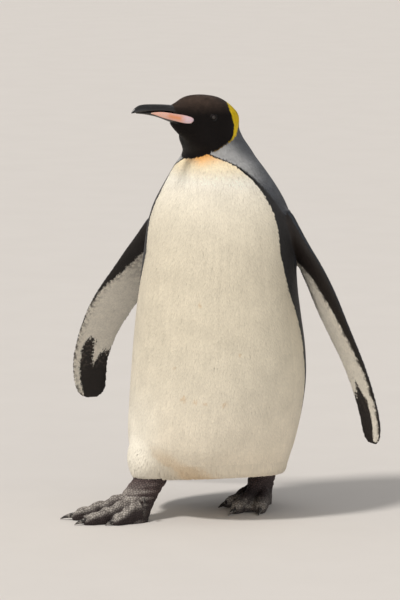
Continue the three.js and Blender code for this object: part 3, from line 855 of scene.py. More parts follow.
def body_skin():
    """The skin under the coat: its points, quads and the part that each point belongs to."""
    named = list(flesh())
    solids = [solid for _, solid in named]
    points, quads = remeshed(solids, SKIN_VOXEL)
    together, blocks = merged(solids)
    owners = []
    for kind in (4, 3):
        for name, (_, parts) in named:
            owners += [PARTS.index(name)] * sum(len(block) for block in parts if block.shape[1] == kind)
    faces = [face for block in blocks for face in block.tolist()]
    tree = BVHTree.FromPolygons(together.tolist(), faces)
    part = np.array([owners[tree.find_nearest(place)[2]] for place in points.tolist()])
    edges = edges_of(quads)
    joint = np.zeros(len(points))
    crossing = part[edges[:, 0]] != part[edges[:, 1]]
    joint[edges[crossing].ravel()] = 1
    joint = eased(joint[:, None], edges, 60)
    joint = np.clip(joint * 14, 0, 1)
    fixed = is_part(part, "flipper_left", "flipper_right")[:, None]
    points = eased(points, edges, 40, 0.6 * joint)
    points = eased(points, edges, 40, 0.5 * is_part(part, "legs")[:, None])
    points = eased(points, edges, 6, np.where(fixed, 0.06, 0.5))
    return points, quads, edges, part


def coat_sizes(points, part):
    """For each place: the coat's depth, and the feathers' length, width and spacing."""
    angle, z = body_angle(points), points[:, 2]
    forward = head_place(points)[0]
    middle, half, _ = through(BORDER, z).T
    by_edge = np.abs(np.abs(angle - middle) - half)

    def mixed(start, kind, share):
        return lerp(start, COAT[kind], share[:, None])

    body = mixed(COAT["front"], "back", ramp(np.abs(angle), 75, 95))
    body = mixed(body, "border", ramp(by_edge, 9, 3) * ramp(z, 120, 160))
    body = mixed(body, "neck", ramp(z, 600, 672))
    places = {
        "body": mixed(body, "throat", ramp(z, 672, 700)),
        "head": mixed(COAT["crown"], "face", ramp(forward, 20, 62)),
        "tail": COAT["tail"],
        "legs": COAT["legs"],
    }
    for name, flipper in flippers.items():
        chord = flipper.place(points)[1]
        places[f"flipper_{name}"] = mixed(COAT["flipper"], "rim", ramp(np.abs(chord), 0.6, 0.85))
    sizes = np.zeros((len(points), 4))
    for name, values in places.items():
        here = is_part(part, name)
        sizes[here] = np.broadcast_to(values, sizes.shape)[here]
    return sizes


BILL_BASE = head_point(76, 0, 10)
DOWN = -UP


def coat_flow(points, part):
    """The way the feathers point at each place, before it is laid on the skin."""
    angle = np.radians(body_angle(points))
    forward, _, up = head_place(points)
    flow = np.stack([0.08 * np.sin(angle), np.full(len(points), 0.3), np.full(len(points), -1.0)], axis=1)
    sink = 0.2 + 1.3 * ramp(forward, 5, -50) + 0.8 * ramp(up, -5, -45)
    from_bill = unit(points - BILL_BASE) + sink[:, None] * DOWN
    head = is_part(part, "head")
    flow[head] = from_bill[head]
    for name, flipper in flippers.items():
        here = is_part(part, f"flipper_{name}")
        station, chord, _ = flipper.place(points[here])
        closing = 0.5 * chord * ramp(station / (STATIONS - 1), 0.84, 0.97)
        aside = 0.12 * ramp(chord, -0.8, 0) + closing
        flow[here] = flipper.along[station] - aside[:, None] * flipper.lead[station]
    flow[is_part(part, "tail")] = tail_along
    return unit(flow)


def part_markings(points, part, rng=None):
    """Colours for places on the coat or skin. With rng, edges are staggered by feathers."""
    stagger = rng.normal(size=len(points)) if rng is not None else np.zeros(len(points))
    colours = np.zeros((len(points), 3))
    plain = is_part(part, "body", "head", "legs")
    body = body_markings(points[plain], 0.18 * stagger[plain])
    colours[plain] = head_markings(points[plain], 0.4 * stagger[plain], body)
    for name in flippers:
        here = is_part(part, f"flipper_{name}")
        colours[here] = flipper_markings(points[here], name, 0.03 * stagger[here])
    here = is_part(part, "tail")
    colours[here] = tail_markings(points[here])
    return colours


# ---------------------------------------------------------------- the coat

# One feather: share of its length, then its side and half width for each of eight corners,
# which are the root, two rows across it and the tip. Its faces close it above and below.
VANE_ALONG = np.array([0, 0.3, 0.3, 0.3, 0.76, 0.76, 0.76, 1])
# How high each corner is above the skin, beside the coat's depth.
VANE_RISE = np.array([0, 0.78, 0.78, 0.78, 0.95, 0.95, 0.95, 1])
VANE_SIDE = np.array([0, -1, 0, 1, -1, 0, 1, 0])
VANE_WIDE = np.array([0, 0.92, 0, 0.92, 0.84, 0, 0.84, 0])
VANE_ROWS = np.array([0, 0.3, 0.76, 1])
VANE_ROW = np.array([0, 1, 1, 1, 2, 2, 2, 3])
VANE_QUADS = np.array([[1, 4, 5, 2], [2, 5, 6, 3], [1, 3, 6, 4]])
VANE_TRIANGLES = np.array([[0, 1, 2], [0, 2, 3], [4, 7, 5], [5, 7, 6], [0, 3, 1], [4, 6, 7]])
VANE_TILT = np.array([-0.05, 0, 0, 0, 0.05, 0.05, 0.05, 0.14])  # of the shading towards the tip
VANE_ROUND = 0.2  # of the shading towards the sides
VANE_CROWN = 0.03  # how high a feather's middle stands above its sides, beside its width
SHARP_TURN = (0.4, 0.95)  # cosines between root and tip over which feathers are shortened
SHARP_LENGTH = 0.35
SHARP_LIFT = 0.6
HANG = 0.85  # how far the hem's feathers hang straight instead of lying on the skin
HANG_FROM = (44, 26)  # heights above the hem over which they come to hang
HANG_LOW = 67  # they end no lower than this above the hem's rise
HANG_LONGER = 0.8
HANG_UNEVEN = 4
PATCH_SIZE = 0.003  # of a feather on its piece's unwrap
EYE_BARE = 7.2  # radius round each eye without feathers


def bare(points):
    """Places where no feather grows: round the eyes and where the bill and plates are."""
    forward, left, up = head_place(points)
    near_eye = np.hypot(forward - EYE_PLACE[0], up - EYE_PLACE[2]) < EYE_BARE
    low, high, _ = through(PLATE, forward).T
    by_plate = (forward > PLATE[0][0] - 1) & (up > low - 0.6) & (up < high + 0.6)
    shut, under = through(UPPER_BILL, forward)[:, 1], through(LOWER_BILL, forward)[:, 1]
    beyond = (forward > 70) & (up < shut + 1) & (up > under)
    return (up > -60) & (near_eye | by_plate | beyond) & (np.abs(left) < 45)


def feather_pieces(places, part):
    """The name of the coat piece that each feather belongs to."""
    angle, z = body_angle(places), places[:, 2]
    names = np.where(
        np.abs(angle) < 90,
        np.where(z > 560, "breast", np.where(z > 340, "belly_upper", "belly_lower")),
        np.where(z > 560, "mantle", np.where(z > 340, "back", "rump")),
    ).astype(object)
    names[z > 650] = "neck"
    behind, near = behind_hood(places)
    names[near & (behind < 0) & (z > 650)] = "head"
    names[(z < 200) & (names == "belly_lower")] = "belly_hem"
    names[is_part(part, "tail")] = "tail_coverts"
    for name in ("head", "legs", "flipper_left", "flipper_right"):
        names[is_part(part, name)] = name
    return names


def unwrap(name, places):
    """Each place on an unwrap of its own part of the skin, from 0 to 1."""
    if name.startswith("flipper"):
        station, chord, height = flippers[name.split("_")[1]].place(places)
        flat = np.stack([np.where(height > 0, 2.4, 0) + chord, station / STATIONS], axis=1)
    elif name == "head":
        forward, left, up = head_place(places)
        flat = np.stack([np.arctan2(left, up + 5), forward], axis=1)
    else:
        angle = body_angle(places)
        behind = name in ("mantle", "back", "rump", "tail_coverts")
        flat = np.stack([np.where(behind, angle % 360, angle), places[:, 2]], axis=1)
    low, high = flat.min(axis=0), flat.max(axis=0)
    return (flat - low) / (high - low) * (1 - 2 * PATCH_SIZE) + PATCH_SIZE / 2


def grow_coat(points, quads, edges, part, rng):
    """Every feather on the skin: pieces of (name, corners, colours, roots)."""
    normals = normals_of(points, quads)
    sizes = eased(coat_sizes(points, part), edges, 14)
    flow = eased(coat_flow(points, part), edges, 18)
    corners, weights = scatter(points, quads, sizes[:, 3], rng)

    def at_root(values):
        return (values[corners] * weights[..., None]).sum(axis=1)

    root, normal = at_root(points), unit(at_root(normals))
    keep = ~bare(root)
    corners, weights, root, normal = corners[keep], weights[keep], root[keep], normal[keep]
    owner = part[corners[np.arange(len(root)), weights.argmax(axis=1)]]
    depth, length, width, _ = at_root(sizes).T
    count = len(root)
    direction = at_root(flow)
    direction = unit(direction - normal * (direction * normal).sum(axis=1, keepdims=True))
    aside = np.cross(normal, direction)
    direction = unit(direction + aside * rng.normal(0, 0.06, count)[:, None])
    length = length * rng.uniform(0.86, 1.12, count)
    width = width * rng.uniform(0.88, 1.12, count)
    lift = depth * rng.uniform(0.975, 1.015, count)

    tree = BVHTree.FromPolygons(points.tolist(), quads.tolist())
    face_normals = unit(normals[quads].mean(axis=1))

    def laid(places):
        """The nearest places on the skin, and its normals there."""
        found = [tree.find_nearest(place) for place in places.tolist()]
        return np.array([hit[0] for hit in found]), face_normals[[hit[2] for hit in found]]

    turn = (normal * laid(root + direction * length[:, None])[1]).sum(axis=1)
    sharp = ramp(turn, *SHARP_TURN)
    length = length * lerp(SHARP_LENGTH, 1, sharp)
    lift = lift * lerp(SHARP_LIFT, 1, sharp)
    spine, up = [root], [normal]
    low = HANG_LOW + hem_rise(root)
    hanging = HANG * ramp(root[:, 2] - low, *HANG_FROM) * ramp(root[:, 2], low - 4, low + 4)
    hanging = hanging * is_part(owner, "body")
    length = length * (1 + HANG_LONGER * hanging)
    low = low + HANG_UNEVEN * rng.random(count)
    hanging = hanging[:, None]
    lean = unit(lerp(direction, DOWN, 0.8 * hanging))
    for share in VANE_ROWS[1:]:
        straight = root + lean * (length * share)[:, None]
        held = np.maximum(straight[:, 2], np.minimum(root[:, 2] - 1, low - 2 * (1 - share)))
        straight[:, 2] = lerp(straight[:, 2], held, hanging[:, 0] > 0.1)
        place, out = laid(straight)
        spine.append(lerp(place, straight, hanging))
        up.append(unit(lerp(out, normal, hanging)))
    over = spine[-1]
    aside = unit(np.cross(normal, unit(over - root + direction * 0.1)))
    spine, up = (np.stack(rows, axis=1)[:, VANE_ROW] for rows in (spine, up))
    rise = lift[:, None, None] * VANE_RISE[None, :, None]
    side = aside[:, None] + up * rng.normal(0, 0.03, count)[:, None, None]
    reach = (VANE_SIDE * VANE_WIDE)[None, :, None] * width[:, None, None] / 2
    sag = (np.abs(VANE_SIDE) * VANE_CROWN)[None, :, None] * width[:, None, None]
    corners3 = spine + side * reach + up * (rise - sag)
    outwards = side * VANE_SIDE[None, :, None] * VANE_ROUND
    shading = unit(up + outwards + direction[:, None] * VANE_TILT[None, :, None])

    seen_at = lerp(root, over, 0.75)
    base = part_markings(seen_at, owner, rng)
    bright = base.mean(axis=1, keepdims=True)
    paleness = np.clip(bright / 0.5, 0, 1)
    contrast = lerp(0.55, 0.1, paleness)[:, :, None]
    fade = (VANE_ALONG[None, :, None] - 0.75) * contrast * 1.6
    vary = rng.normal(0, 0.035, (count, 1, 1)) * lerp(2.2, 0.8, paleness)[:, :, None]
    colours = np.clip(base[:, None] * (1 + fade + vary), 0, 1)

    names = feather_pieces(root, owner)
    for name in sorted(set(names)):
        here = names == name
        yield name, corners3[here], shading[here], colours[here], root[here]


COAT_SLOTS = {
    "head": "head_feathers",
    "neck": "neck_feathers",
    "tail_coverts": "tail_feathers",
    "flipper_left": "flipper_feathers",
    "flipper_right": "flipper_feathers",
}


# The material of each coat piece that isn't dark.
COAT_KINDS = dict.fromkeys(("breast", "belly_upper", "belly_lower", "belly_hem", "legs"), "pale")
COAT_KINDS["head"] = "head"


def coat_piece(name, corners, shading, colours, roots, material):
    count = len(corners)
    start = (np.arange(count) * len(VANE_ALONG))[:, None, None]
    blocks = [(VANE_QUADS + start).reshape(-1, 4), (VANE_TRIANGLES + start).reshape(-1, 3)]
    made = build(f"coat_{name}", corners.reshape(-1, 3), blocks)
    made.data.normals_split_custom_set_from_vertices(shading.reshape(-1, 3))
    paint(made, colours.reshape(-1, 3))
    across = VANE_SIDE * VANE_WIDE
    patch = np.stack([(across + 1) / 2, VANE_ALONG], axis=1) * PATCH_SIZE
    add_map(made, "OFBake", (unwrap(name, roots)[:, None] + patch).reshape(-1, 2))
    add_map(made, "Vane", np.tile(np.stack([across, VANE_ALONG], axis=1), (count, 1)))
    return as_piece(made, material, COAT_SLOTS.get(name, "body_feathers"))


# ---------------------------------------------------------------- tail feathers

TAIL_FEATHERS = 15
TAIL_FROM = 0.36  # share of the tail's length where its feathers start
# Share of a tail feather's length, then half its width and half its thickness.
QUILL = [[0, 4.5, 1.4], [0.3, 6.5, 1.1], [0.7, 6, 0.8], [0.9, 4, 0.6], [1, 0.8, 0.4]]
QUILL_LAYERS = [(0.0, 1.0, 0.0), (-6.0, 0.9, 0.5)]  # lift, share of the length, step aside


def quill(aside, lift, length_share):
    """One stiff tail feather, with its shaft as a ridge."""
    shares = np.linspace(0, 1, 18)
    along = lerp(TAIL_FROM, 1 - 0.09 * abs(aside) ** 1.5, shares) * length_share
    half_wide = through([[0, 46], [0.5, 36], [1, 21]], along)[:, 0]
    drop = through([[0, 30], [0.36, 17], [0.7, 8], [1, 1.5]], along)[:, 0]
    out = drop * (math.cos(aside * 1.5) - 0.3) + lift * (1 - along)
    middles = lerp(TAIL_ROOT, TAIL_TIP, along[:, None]) + (aside * half_wide)[:, None] * ACROSS
    middles += out[:, None] * tail_out
    wide, thick = through(QUILL, shares).T
    tilt = unit(ACROSS - 0.55 * aside * tail_out)
    ridge = unit(np.cross(tilt, tail_along))
    # the rings are flat ovals pinched up into a ridge at the shaft
    angle = round_angles(10)
    side = np.cos(angle) * np.abs(np.cos(angle)) ** 0.3
    lobe = np.abs(np.sin(angle))
    height = np.where(np.sin(angle) > 0, lobe**3 * 1.5, -lobe * 0.5)
    rings = middles[:, None] + (wide[:, None] * side)[..., None] * tilt
    return loft(rings + (thick[:, None] * height)[..., None] * ridge)


def tail_feathers(material):
    solids = []
    for lift, length_share, step in QUILL_LAYERS:
        for i in range(TAIL_FEATHERS - int(2 * step)):
            aside = (i + step) / (TAIL_FEATHERS - 1) * 2 - 1
            solids.append(quill(aside, lift - 1.2 * (i % 2), length_share))
    points, blocks = merged(solids)
    made = build("tail_quills", points, blocks)
    colours = blend(TAIL_DARK, MOTTLE, 0.35 * ramp(tail_share(points), 0.85, 1))
    paint(made, colours * varied(points, 0.15, 6))
    return as_piece(made, material, "tail_feathers")


# ---------------------------------------------------------------- bill and plates

BILL_SHUT = 0.25  # how far the two halves reach into each other


def bill_form(rows, forward, sides, upper):
    """Rings of one half of the bill, with a ridge, a sunk side and a sharp cutting edge."""
    edge, other, wide = through(rows, forward).T
    top, bottom = (edge, other - BILL_SHUT) if upper else (edge + BILL_SHUT, other)
    middle = lerp(bottom, top, 0.22 if upper else 0.62)
    angle = round_angles(sides)
    rise = np.where(np.sin(angle) > 0, (top - middle)[:, None], (middle - bottom)[:, None])
    pinch = 1 - 0.14 * np.clip(np.sin(angle), 0, 1) ** 4 if upper else 1
    groove = np.exp(-(((np.sin(angle) - 0.42) / 0.16) ** 2)) * (1 if upper else 0)
    groove = groove * (ramp(forward, 62, 74) * ramp(forward, 140, 108))[:, None]
    nostril = np.exp(-(((forward - 88) / 7) ** 2))[:, None] * groove
    inward = 1 - (0.11 * groove + 0.16 * nostril)
    height = middle[:, None] + rise * np.sin(angle)
    out = wide[:, None] * np.cos(angle) * inward * pinch
    return head_point(forward[:, None] + 0 * height, out, height)


def bill_half(name, rows, sides, upper, colours, material):
    first, last = rows[0][0], rows[-1][0]
    forward = last - (last - first) * np.linspace(1, 0, 90) ** 1.25
    points, blocks = loft(bill_form(rows, forward, sides, upper))
    made = build(name, points, blocks)
    along, left, up = head_place(points)
    worn = ramp(waviness(points, 3.5), 0.15, 0.5)
    shade = blend(colours[0], colours[1], 0.4 * worn)
    paint(made, shade)
    add_map(made, "Form", np.stack([along / 10, np.arctan2(left, up - 15)], axis=1))
    return as_piece(made, material, "bill_horn", name)


PLATE_BULGE = 0.9
PLATE_LINES = 4.2  # radians of its fine cross lines in each millimetre
PINK = tint(240, 188, 168)
PLATE_ORANGE = tint(232, 148, 92)
LILAC = tint(222, 192, 198)


def bill_plate(name, side, material):
    forward = np.linspace(PLATE[0][0], PLATE[-1][0], 110)
    bottom, top, face = through(PLATE, forward).T
    angle = round_angles(40)
    half = ((top - bottom) / 2)[:, None]
    out = np.where(np.cos(angle) > 0, PLATE_BULGE, PLATE_DEPTH) * np.cos(angle)
    grooves = 0.12 * np.maximum(np.sin(forward * PLATE_LINES), 0)[:, None]
    out = out - grooves * (np.cos(angle) > 0) * ramp(forward, 66, 52)[:, None]
    out = side * (face[:, None] + out)
    height = ((top + bottom) / 2)[:, None] + half * np.sin(angle)
    points, blocks = loft(head_point(forward[:, None] + 0 * height, out, height))
    made = build(name, points, blocks)
    along, _, up = head_place(points)
    low, high, _ = through(PLATE, along).T
    middle = 1 - np.abs((up - low) / (high - low) * 2 - 1)
    orange = ramp(along + 4 * waviness(points, 6), 54, 70) * (0.4 + 0.6 * middle)
    colours = blend(LILAC, PLATE_ORANGE, orange)
    colours = blend(colours, PINK, ramp(along + 3 * waviness(points, 5), 84, 98))
    colours = blend(colours, PINK * 0.75, 0.5 * ramp(middle, 0.25, 0))
    lines = 0.08 * np.sin(along * PLATE_LINES) * ramp(along, 68, 52)
    paint(made, np.clip(colours * (1 + lines)[:, None], 0, 1))
    return as_piece(made, material, "bill_plate", name)


# ---------------------------------------------------------------- eyes and lids

IRIS, PUPIL = 3.9, 1.7  # radii
CORNEA = 0.35  # how far it stands out from the ball
IRIS_BROWN = tint(40, 25, 16)
IRIS_EDGE = tint(22, 14, 10)
LID_DARK = tint(16, 12, 11)
PUPIL_BLACK = tint(5, 4, 4)
# A lid's section: distance from the middle of the eye, and how far out from the eye's middle.
LID = [(3.9, 7.2), (4.15, 7.9), (4.7, 8.15), (5.6, 7.7), (6.8, 6.3), (8.6, 3.0), (7.0, 2.6), (5.0, 4.6)]


def eye(name, side, material):
    """An eyeball whose rings run round its own axis, with a slightly raised cornea."""
    polar = np.linspace(0.02, np.pi - 0.02, 60)
    cornea = ramp(EYE_RADIUS * np.sin(polar), IRIS + 0.6, IRIS - 1.2) * (polar < np.pi / 2)
    radius = EYE_RADIUS + CORNEA * cornea
    angle = round_angles(48)
    away = (radius * np.sin(polar))[:, None]
    forward, out, up = EYE_PLACE
    rings = head_point(
        forward + away * np.cos(angle),
        side * (out + (radius * np.cos(polar))[:, None] + 0 * away * angle),
        up + away * np.sin(angle),
    )
    points, blocks = loft(rings)
    made = build(name, points, blocks)
    along, left, height = head_place(points)
    apart = np.hypot(along - forward, height - up)
    spokes = 1 + 0.25 * np.sin(np.arctan2(height - up, along - forward) * 34)
    colours = blend(IRIS_BROWN * spokes[:, None], IRIS_EDGE, ramp(apart, IRIS - 1.0, IRIS))
    colours = blend(colours, PUPIL_BLACK, ramp(apart, PUPIL + 0.2, PUPIL - 0.1))
    colours = np.where((side * left > out)[:, None], colours, IRIS_EDGE)
    paint(made, np.clip(colours, 0, 1))
    return as_piece(made, material, "eye", name)


def lids(side):
    """The rim of bare skin round an eye, as a closed ring."""
    forward, out, up = EYE_PLACE
    angle = round_angles(56)
    squint = 1 - 0.13 * np.abs(np.sin(angle))  # the opening is a little longer than it is high
    folds = 0.1 * np.sin(angle * 14)
    reach, level = (np.array(column)[:, None] for column in zip(*LID))
    away = reach * squint + folds * (reach > 4.5)
    across, height = side * (out + level + 0 * away), up + away * np.sin(angle)
    rings = head_point(forward + away * np.cos(angle), across, height)
    n = len(angle)
    low = np.arange(len(LID) * n).reshape(len(LID), n)
    right, above = np.roll(low, -1, axis=1), np.roll(low, -1, axis=0)
    quads = np.stack([low, right, np.roll(above, -1, axis=1), above], axis=-1).reshape(-1, 4)
    return rings.reshape(-1, 3), [quads if side > 0 else quads[:, ::-1]]


# ---------------------------------------------------------------- feet and claws

SCUTE_SPACING = {"top": 4.0, "side": 2.8}
SCUTE_HEIGHT = 0.7
FOOT_DARK = tint(62, 53, 52)
CLAW_DARK = tint(38, 33, 31)
FOOT_PURPLE = tint(88, 74, 72)
FOOT_DUST = tint(172, 165, 157)
CREASE_SHADE = tint(24, 19, 19)
SOLE_CLEAR = 4  # height below which the sole stays smooth


def foot_skin(rng):
    """Both feet's bare skin with its scutes: points, quads and colours."""
    solids = []
    for leg in LEGS.values():
        solids.append(loft(shank_rings(leg)))
        solids += [loft(toe_rings(leg, name)) for name in leg["toes"]]
        solids += [web_block(leg, "inner", "middle"), web_block(leg, "middle", "outer")]
    points, quads = remeshed(solids, FOOT_VOXEL)
    edges = edges_of(quads)
    points = eased(points, edges, 5)
    points[:, 2] = np.maximum(points[:, 2], 0)
    normals = normals_of(points, quads)
    upward = ramp(normals[:, 2], 0.1, 0.75)
    facing_up = eased(upward[:, None], edges, 10)[:, 0]
    spacing = lerp(SCUTE_SPACING["side"], SCUTE_SPACING["top"], facing_up)
    corners, weights = scatter(points, quads, spacing, rng)
    seeds = (points[corners] * weights[..., None]).sum(axis=1)
    tree = KDTree(len(seeds))
    for i, seed in enumerate(seeds.tolist()):
        tree.insert(seed, i)
    tree.balance()
    pairs = [tree.find_n(place, 2) for place in points.tolist()]
    nearest, second = (np.array([pair[k][2] for pair in pairs]) for k in (0, 1))
    dome = ramp(second - nearest, 0.0, 1.7)
    clear = ramp(points[:, 2], SOLE_CLEAR, SOLE_CLEAR + 4)
    wrinkles = 0.8 * waviness(points * np.array([1, 1, 2.2]), 9)
    wrinkles = wrinkles + 0.45 * waviness(points * np.array([2, 2, 0.7]), 6)
    points = points + normals * (clear * (SCUTE_HEIGHT * (dome - 0.6) + wrinkles))[:, None]
    points[:, 2] = np.maximum(points[:, 2], 0)
    seed_tone = waviness(seeds, 7) + rng.normal(0, 0.25, len(seeds))
    tone = seed_tone[[pair[0][1] for pair in pairs]]
    # Pale dust lies on the upward faces of the right foot.
    right = upward * ramp(points[:, 2], 78, 40)
    # On the left foot only the low toe ends are dusty, so its instep and shank stay dark: painted shadow of
    # the body.
    left = lerp(0.25, 1, upward) * ramp(points[:, 2], 30, 14)
    pale_share = np.where(points[:, 0] < 0, right, left) * (0.8 + 0.3 * tone + 0.55 * waviness(points, 9))
    colours = blend(FOOT_DARK, FOOT_PURPLE, ramp(points[:, 2], 25, 60))
    colours = blend(colours * (1 + 0.2 * tone)[:, None], FOOT_DUST, np.clip(pale_share, 0, 1))
    # The creases between the scutes are darkened: painted shade.
    return points, quads, blend(colours, CREASE_SHADE, 0.85 * (1 - dome))


def claw_form(leg, toe):
    """A curved claw with a ridge along its top."""
    across = foot_direction(leg, toe["angle"] + 90)
    root = INSTEP[-1][1] * toe["high"] / 2
    shares = np.linspace(-0.12, 1, 30)
    on = np.clip(shares, 0, 1)
    radius = lerp(CLAW_BASE, CLAW_TIP, on**1.3) * (1 + 0.04 * np.sin(on * 40) * (on < 0.6))
    up = lerp(root, radius + CLAW_ABOVE, on**1.5)
    middles = foot_point(leg, toe["angle"], toe["length"] - toe["claw"] * (1 - shares), up)
    ridge = 1 + 0.1 * np.exp(-((round_angles(24) - np.pi / 2) ** 2) / 0.08)
    rings = oval_rings(middles, (radius * 0.88)[:, None] * across, radius[:, None] * UP, 24)
    return loft(middles[:, None] + (rings - middles[:, None]) * ridge[:, None])


def hind_claw(leg):
    ahead, inward = foot_direction(leg, 0), foot_direction(leg, 90)
    shares = np.linspace(-0.25, 1, 16)[:, None]
    radius = HIND_CLAW["radius"] * (1 - 0.8 * np.clip(shares, 0, 1))
    middles = np.array(leg["heel"], float) + HIND_CLAW["forward"] * ahead
    middles = middles + (HIND_CLAW["across"] + HIND_CLAW["lean"] * shares) * inward
    middles = middles + (HIND_CLAW["up"] - HIND_CLAW["length"] * shares) * UP
    return loft(oval_rings(middles, radius * ahead, radius * inward, 16))


def claws(name, leg, material):
    forms = [claw_form(leg, toe) for toe in leg["toes"].values()]
    points, blocks = merged(forms + [hind_claw(leg)])
    made = build(f"claws_{name}", points, blocks)
    pale_share = 0.55 * ramp(waviness(points, 4), -0.1, 0.5)
    paint(made, blend(CLAW_DARK, FOOT_DUST, pale_share))
    nodes = [f"claw_{name}_{toe}" for toe in (*leg["toes"], "hind")]
    return as_piece(made, material, "claw_horn", *nodes)


# ---------------------------------------------------------------- materials

def add(tree, kind, links=(), **settings):
    """A node with its settings and its inputs' values or links, given by their names."""
    node = tree.nodes.new(kind)
    for key, value in settings.items():
        setattr(node, key, value)
    for socket, value in links:
        if isinstance(value, bpy.types.NodeSocket):
            tree.links.new(value, node.inputs[socket])
        else:
            node.inputs[socket].default_value = value
    return node


def ranged(tree, value, low, high):
    inputs = [("Value", value), ("To Min", low), ("To Max", high)]
    return add(tree, "ShaderNodeMapRange", inputs).outputs["Result"]


def noise_of(tree, vector, scale, detail=3.0, rough=0.55):
    inputs = [("Vector", vector), ("Scale", scale), ("Detail", detail), ("Roughness", rough)]
    return add(tree, "ShaderNodeTexNoise", inputs).outputs["Fac"]


def math_of(tree, operation, *values):
    return add(tree, "ShaderNodeMath", list(enumerate(values)), operation=operation).outputs[0]


# A Mix node's sockets share their names, so its colour ones are found by number.
MIX_SHARE, MIX_COLOURS, MIX_RESULT = 0, (6, 7), 2


def marked(name, vary, roughness, scale, **constants):
    """A material that takes its colours from the markings, with noise in value and gloss."""
    material = bpy.data.materials.new(name)
    material.use_nodes = True
    tree = material.node_tree
    shader = tree.nodes["Principled BSDF"]
    for socket, value in constants.items():
        shader.inputs[socket.replace("_", " ")].default_value = value
    place = add(tree, "ShaderNodeTexCoord").outputs["Object"]
    colour = add(tree, "ShaderNodeVertexColor", layer_name="Markings").outputs["Color"]
    cloud = noise_of(tree, place, scale)
    shade = ranged(tree, cloud, 1 - vary, 1 + vary)
    greys = [(channel, shade) for channel in ("Red", "Green", "Blue")]
    grey = add(tree, "ShaderNodeCombineColor", greys).outputs["Color"]
    mixed = add(tree, "ShaderNodeMix", data_type="RGBA", blend_type="MULTIPLY")
    mixed.inputs[MIX_SHARE].default_value = 1
    tree.links.new(colour, mixed.inputs[MIX_COLOURS[0]])
    tree.links.new(grey, mixed.inputs[MIX_COLOURS[1]])
    tree.links.new(mixed.outputs[MIX_RESULT], shader.inputs["Base Color"])
    tree.links.new(ranged(tree, cloud, *roughness), shader.inputs["Roughness"])
    return material, tree, shader, place


def bumped(tree, shader, height, strength, distance):
    bump = add(tree, "ShaderNodeBump", [("Height", height), ("Strength", strength), ("Distance", distance)])
    tree.links.new(bump.outputs["Normal"], shader.inputs["Normal"])


def feather_material(name, vary=0.12, roughness=(0.5, 0.72), barbs=34.0, **constants):
    """Feathers with barbs that slant from the shaft towards the tip."""
    material, tree, shader, _ = marked(name, vary, roughness, 240, **constants)
    vane = add(tree, "ShaderNodeUVMap", uv_map="Vane").outputs["UV"]
    split = add(tree, "ShaderNodeSeparateXYZ", [("Vector", vane)])
    slant = math_of(tree, "MULTIPLY", math_of(tree, "ABSOLUTE", split.outputs["X"]), -0.35)
    along = math_of(tree, "ADD", split.outputs["Y"], slant)
    wave = math_of(tree, "SINE", math_of(tree, "MULTIPLY", along, barbs))
    bumped(tree, shader, wave, 0.2, 0.0002)
    return material


def skin_material(name, scale, strength, **constants):
    material, tree, shader, place = marked(name, 0.18, (0.55, 0.85), scale, **constants)
    fine = noise_of(tree, place, scale * 6, 4.0)
    bumped(tree, shader, fine, strength, 0.0008)
    return material


def horn_material(name, roughness, streaks, **constants):
    """Horn with fine streaks along its length, from its map of the form."""
    material, tree, shader, _ = marked(name, 0.3, roughness, 160, **constants)
    form = add(tree, "ShaderNodeUVMap", uv_map="Form").outputs["UV"]
    inputs = [("Vector", form), ("Scale", (0.35, 7.0, 1.0))]
    stretched = add(tree, "ShaderNodeMapping", inputs).outputs["Vector"]
    bumped(tree, shader, noise_of(tree, stretched, streaks, 5.0), 0.35, 0.0004)
    return material


# ---------------------------------------------------------------- floor, light and camera

PHOTO_WIDE, PHOTO_HIGH = 400, 600
PIXELS_PER_METRE = 515  # where the bird stands
CAMERA_AWAY = 8.0
VIEW_AZIMUTH, VIEW_ELEVATION = 20, 8
ORIGIN_PIXEL = (216, 511)  # where the solids' origin shows in the frame
SENSOR = 36.0
KEY_SOFTNESS = 9  # degrees across
KEY_STRENGTH = 2.25
FLOOR_REACH = 6e4


def view_axes():
    a, e = math.radians(VIEW_AZIMUTH), math.radians(VIEW_ELEVATION)
    right = np.array([math.cos(a), math.sin(a), 0])
    back = np.array([math.sin(a) * math.cos(e), -math.cos(a) * math.cos(e), math.sin(e)])
    return right, np.cross(back, right), back


def add_camera():
    right, upward, back = view_axes()
    aside = (PHOTO_WIDE / 2 - ORIGIN_PIXEL[0]) / PIXELS_PER_METRE
    above = (ORIGIN_PIXEL[1] - PHOTO_HIGH / 2) / PIXELS_PER_METRE
    target = SHIFT + right * aside + upward * above
    data = bpy.data.cameras.new("camera")
    data.sensor_width = SENSOR
    data.lens = PIXELS_PER_METRE * CAMERA_AWAY * SENSOR / max(PHOTO_WIDE, PHOTO_HIGH)
    camera = bpy.data.objects.new("camera", data)
    camera.location = target + back * CAMERA_AWAY
    camera.rotation_mode = "QUATERNION"
    camera.rotation_quaternion = Vector(-back).to_track_quat("-Z", "Y")
    bpy.context.scene.collection.objects.link(camera)
    bpy.context.scene.camera = camera


def add_light(name, place, size, power, colour):
    """A square softbox that points at the middle of the bird."""
    data = bpy.data.lights.new(name, "AREA")
    data.size = size
    data.energy = power
    data.color = colour
    light = bpy.data.objects.new(name, data)
    light.location = place
    light.visible_camera = False
    light.rotation_mode = "QUATERNION"
    light.rotation_quaternion = (Vector((0, 0, 0.4)) - Vector(place)).to_track_quat("-Z", "Y")
    bpy.context.scene.collection.objects.link(light)


def add_key(place):
    """The main light: soft, and as bright far off as near by."""
    data = bpy.data.lights.new("key", "SUN")
    data.angle = math.radians(KEY_SOFTNESS)
    data.energy = KEY_STRENGTH
    data.color = (1, 0.965, 0.92)
    light = bpy.data.objects.new("key", data)
    light.rotation_mode = "QUATERNION"
    light.rotation_quaternion = Vector(-place).to_track_quat("-Z", "Y")
    bpy.context.scene.collection.objects.link(light)


